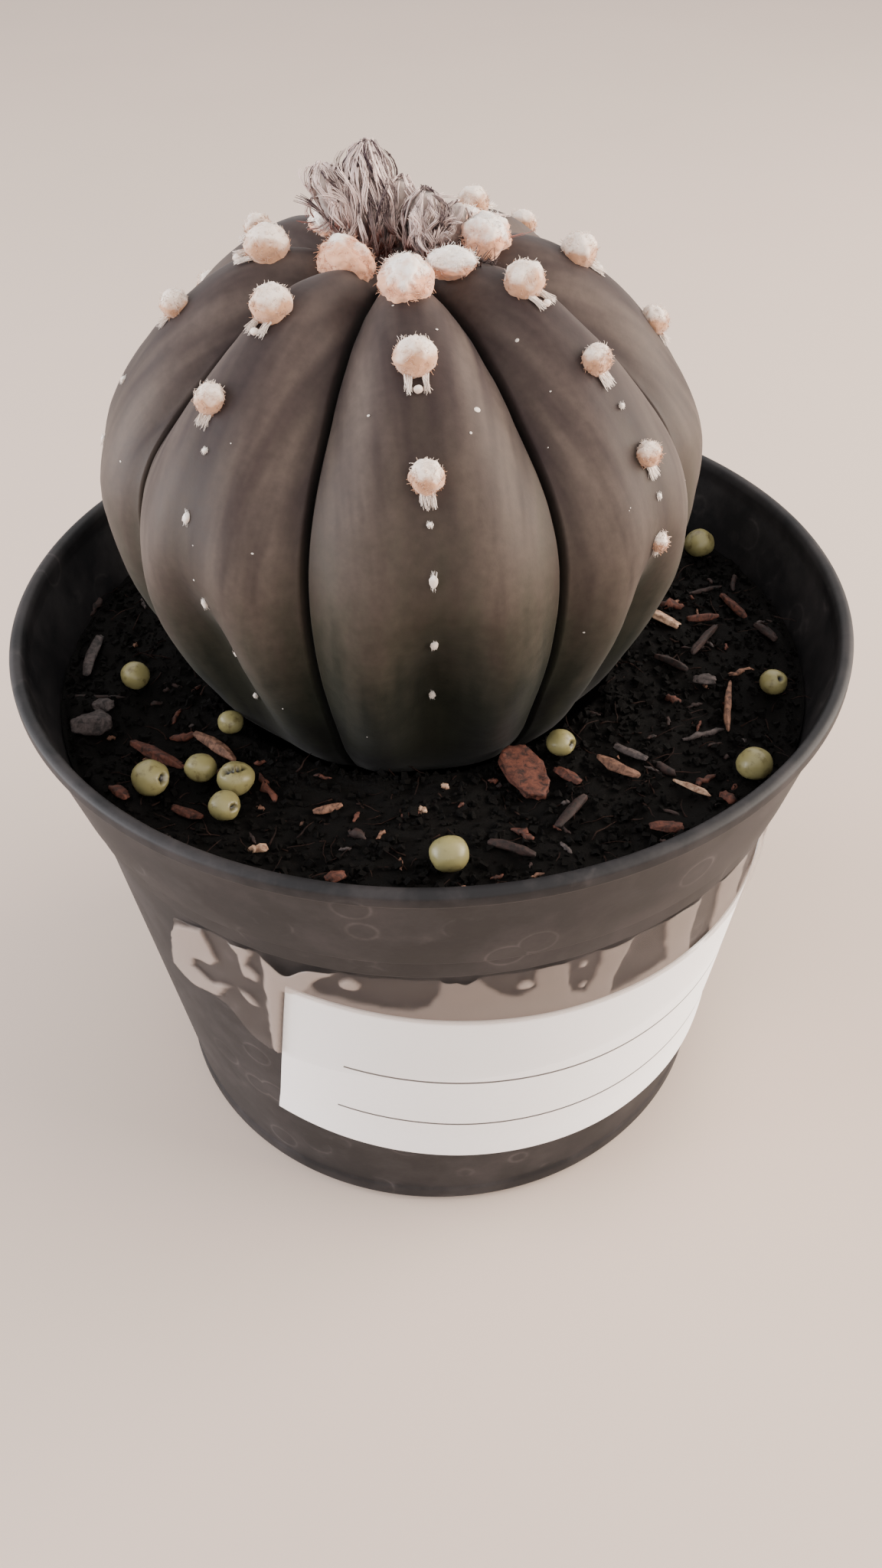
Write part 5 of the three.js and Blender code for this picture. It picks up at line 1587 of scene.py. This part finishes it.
def build_stage(settings):
    """The floor, the sky, the lights and the camera."""
    floor = new_object("studio_floor", bpy.data.meshes.new("studio_floor"))
    corners = [(x * FLOOR_REACH * MM, y * FLOOR_REACH * MM, 0)
               for x, y in ((-1, -1), (1, -1), (1, 1), (-1, 1))]
    floor.data.from_pydata(corners, [], [(0, 1, 2, 3)])
    floor.data.materials.append(studio_floor(settings))

    world = bpy.data.worlds.new("studio_sky")
    world.use_nodes = True
    world.node_tree.nodes.clear()
    sky = add_node(world.node_tree, "Background", Color=linear("f4f1ef"), Strength=settings.sky)
    add_node(world.node_tree, "OutputWorld", Surface=sky)
    bpy.context.scene.world = world

    for name, size, place, hex_colour in LIGHTS:
        soft_light(f"{name}_light", getattr(settings, name), size, place, hex_colour)

    pitch, roll = math.radians(CAMERA_PITCH), math.radians(CAMERA_ROLL)
    right = Vector((1, 0, 0))
    up = Vector((0, math.sin(pitch), math.cos(pitch)))
    forward = Vector((0, math.cos(pitch), -math.sin(pitch)))
    rolled_right = math.cos(roll) * right + math.sin(roll) * up
    rolled_up = math.cos(roll) * up - math.sin(roll) * right
    data = bpy.data.cameras.new("camera")
    data.sensor_fit = "AUTO"
    data.sensor_width = SENSOR_HEIGHT
    data.lens = SENSOR_HEIGHT * FOCAL_PIXELS / IMAGE_HEIGHT
    data.clip_start, data.clip_end = 0.01, 20
    camera = new_object("camera", data)
    turn = Matrix((rolled_right, rolled_up, -forward)).transposed().to_4x4()
    camera.matrix_world = Matrix.Translation(Vector(CAMERA_PLACE) * MM) @ turn
    bpy.context.scene.camera = camera


# --- Operators, panel and registration ---

class STARCACTUS_OT_stage(bpy.types.Operator):
    """Add the floor, the soft lights and the camera"""
    bl_idname = "star_cactus.stage"
    bl_label = "Stage"

    def execute(self, context):
        build_stage(context.scene.star_cactus.stage)
        return {"FINISHED"}


class STARCACTUS_OT_pot(bpy.types.Operator):
    """Add the moulded nursery pot"""
    bl_idname = "star_cactus.pot"
    bl_label = "Pot"

    def execute(self, context):
        build_pot(context.scene.star_cactus.pot)
        return {"FINISHED"}


class STARCACTUS_OT_mix(bpy.types.Operator):
    """Add the potting mix with its crumbs and root fibres"""
    bl_idname = "star_cactus.mix"
    bl_label = "Potting mix"

    def execute(self, context):
        build_mix(context.scene.star_cactus.mix)
        return {"FINISHED"}


class STARCACTUS_OT_stem(bpy.types.Operator):
    """Add the ribbed stem"""
    bl_idname = "star_cactus.stem"
    bl_label = "Stem"

    def execute(self, context):
        build_stem(context.scene.star_cactus.stem)
        return {"FINISHED"}


class STARCACTUS_OT_wool(bpy.types.Operator):
    """Add the wool of the crown and of the ribs. It needs the stem"""
    bl_idname = "star_cactus.wool"
    bl_label = "Wool"

    def execute(self, context):
        build_wool(context.scene.star_cactus.wool)
        return {"FINISHED"}


class STARCACTUS_OT_buds(bpy.types.Operator):
    """Add the two hairy flower buds. They need the stem"""
    bl_idname = "star_cactus.buds"
    bl_label = "Flower buds"

    def execute(self, context):
        build_buds(context.scene.star_cactus.buds)
        return {"FINISHED"}


class STARCACTUS_OT_loose(bpy.types.Operator):
    """Add the fertiliser prills and the bits of bark on the mix"""
    bl_idname = "star_cactus.loose"
    bl_label = "Prills and bark"

    def execute(self, context):
        build_prills(context.scene.star_cactus.loose)
        build_bark()
        return {"FINISHED"}


class STARCACTUS_OT_label(bpy.types.Operator):
    """Add the paper label"""
    bl_idname = "star_cactus.label"
    bl_label = "Label"

    def execute(self, context):
        build_label(context.scene.star_cactus.label)
        return {"FINISHED"}


class STARCACTUS_OT_tape(bpy.types.Operator):
    """Add the clear tape over the label"""
    bl_idname = "star_cactus.tape"
    bl_label = "Tape"

    def execute(self, context):
        build_tape(context.scene.star_cactus.tape)
        return {"FINISHED"}


OPERATORS = [
    STARCACTUS_OT_stage, STARCACTUS_OT_pot, STARCACTUS_OT_mix, STARCACTUS_OT_stem,
    STARCACTUS_OT_wool, STARCACTUS_OT_buds, STARCACTUS_OT_loose, STARCACTUS_OT_label,
    STARCACTUS_OT_tape,
]


class STARCACTUS_PT_panel(bpy.types.Panel):
    """Lists the pieces of the potted star cactus"""
    bl_label = "Star cactus"
    bl_idname = "STARCACTUS_PT_panel"
    bl_space_type = "VIEW_3D"
    bl_region_type = "UI"
    bl_category = "Star cactus"

    def draw(self, context):
        for operator in OPERATORS:
            self.layout.operator(operator.bl_idname)


CLASSES = [*SETTING_GROUPS.values(), StarCactusSettings, *OPERATORS, STARCACTUS_PT_panel]


def register():
    for cls in CLASSES:
        bpy.utils.register_class(cls)
    bpy.types.Scene.star_cactus = PointerProperty(type=StarCactusSettings, name="Star cactus",
                                                  description="Sizes and colours of the part")


def unregister():
    del bpy.types.Scene.star_cactus
    for cls in reversed(CLASSES):
        bpy.utils.unregister_class(cls)


def main():
    register()
    for operator in OPERATORS:
        group, name = operator.bl_idname.split(".")
        getattr(getattr(bpy.ops, group), name)()


if __name__ == "__main__":
    main()
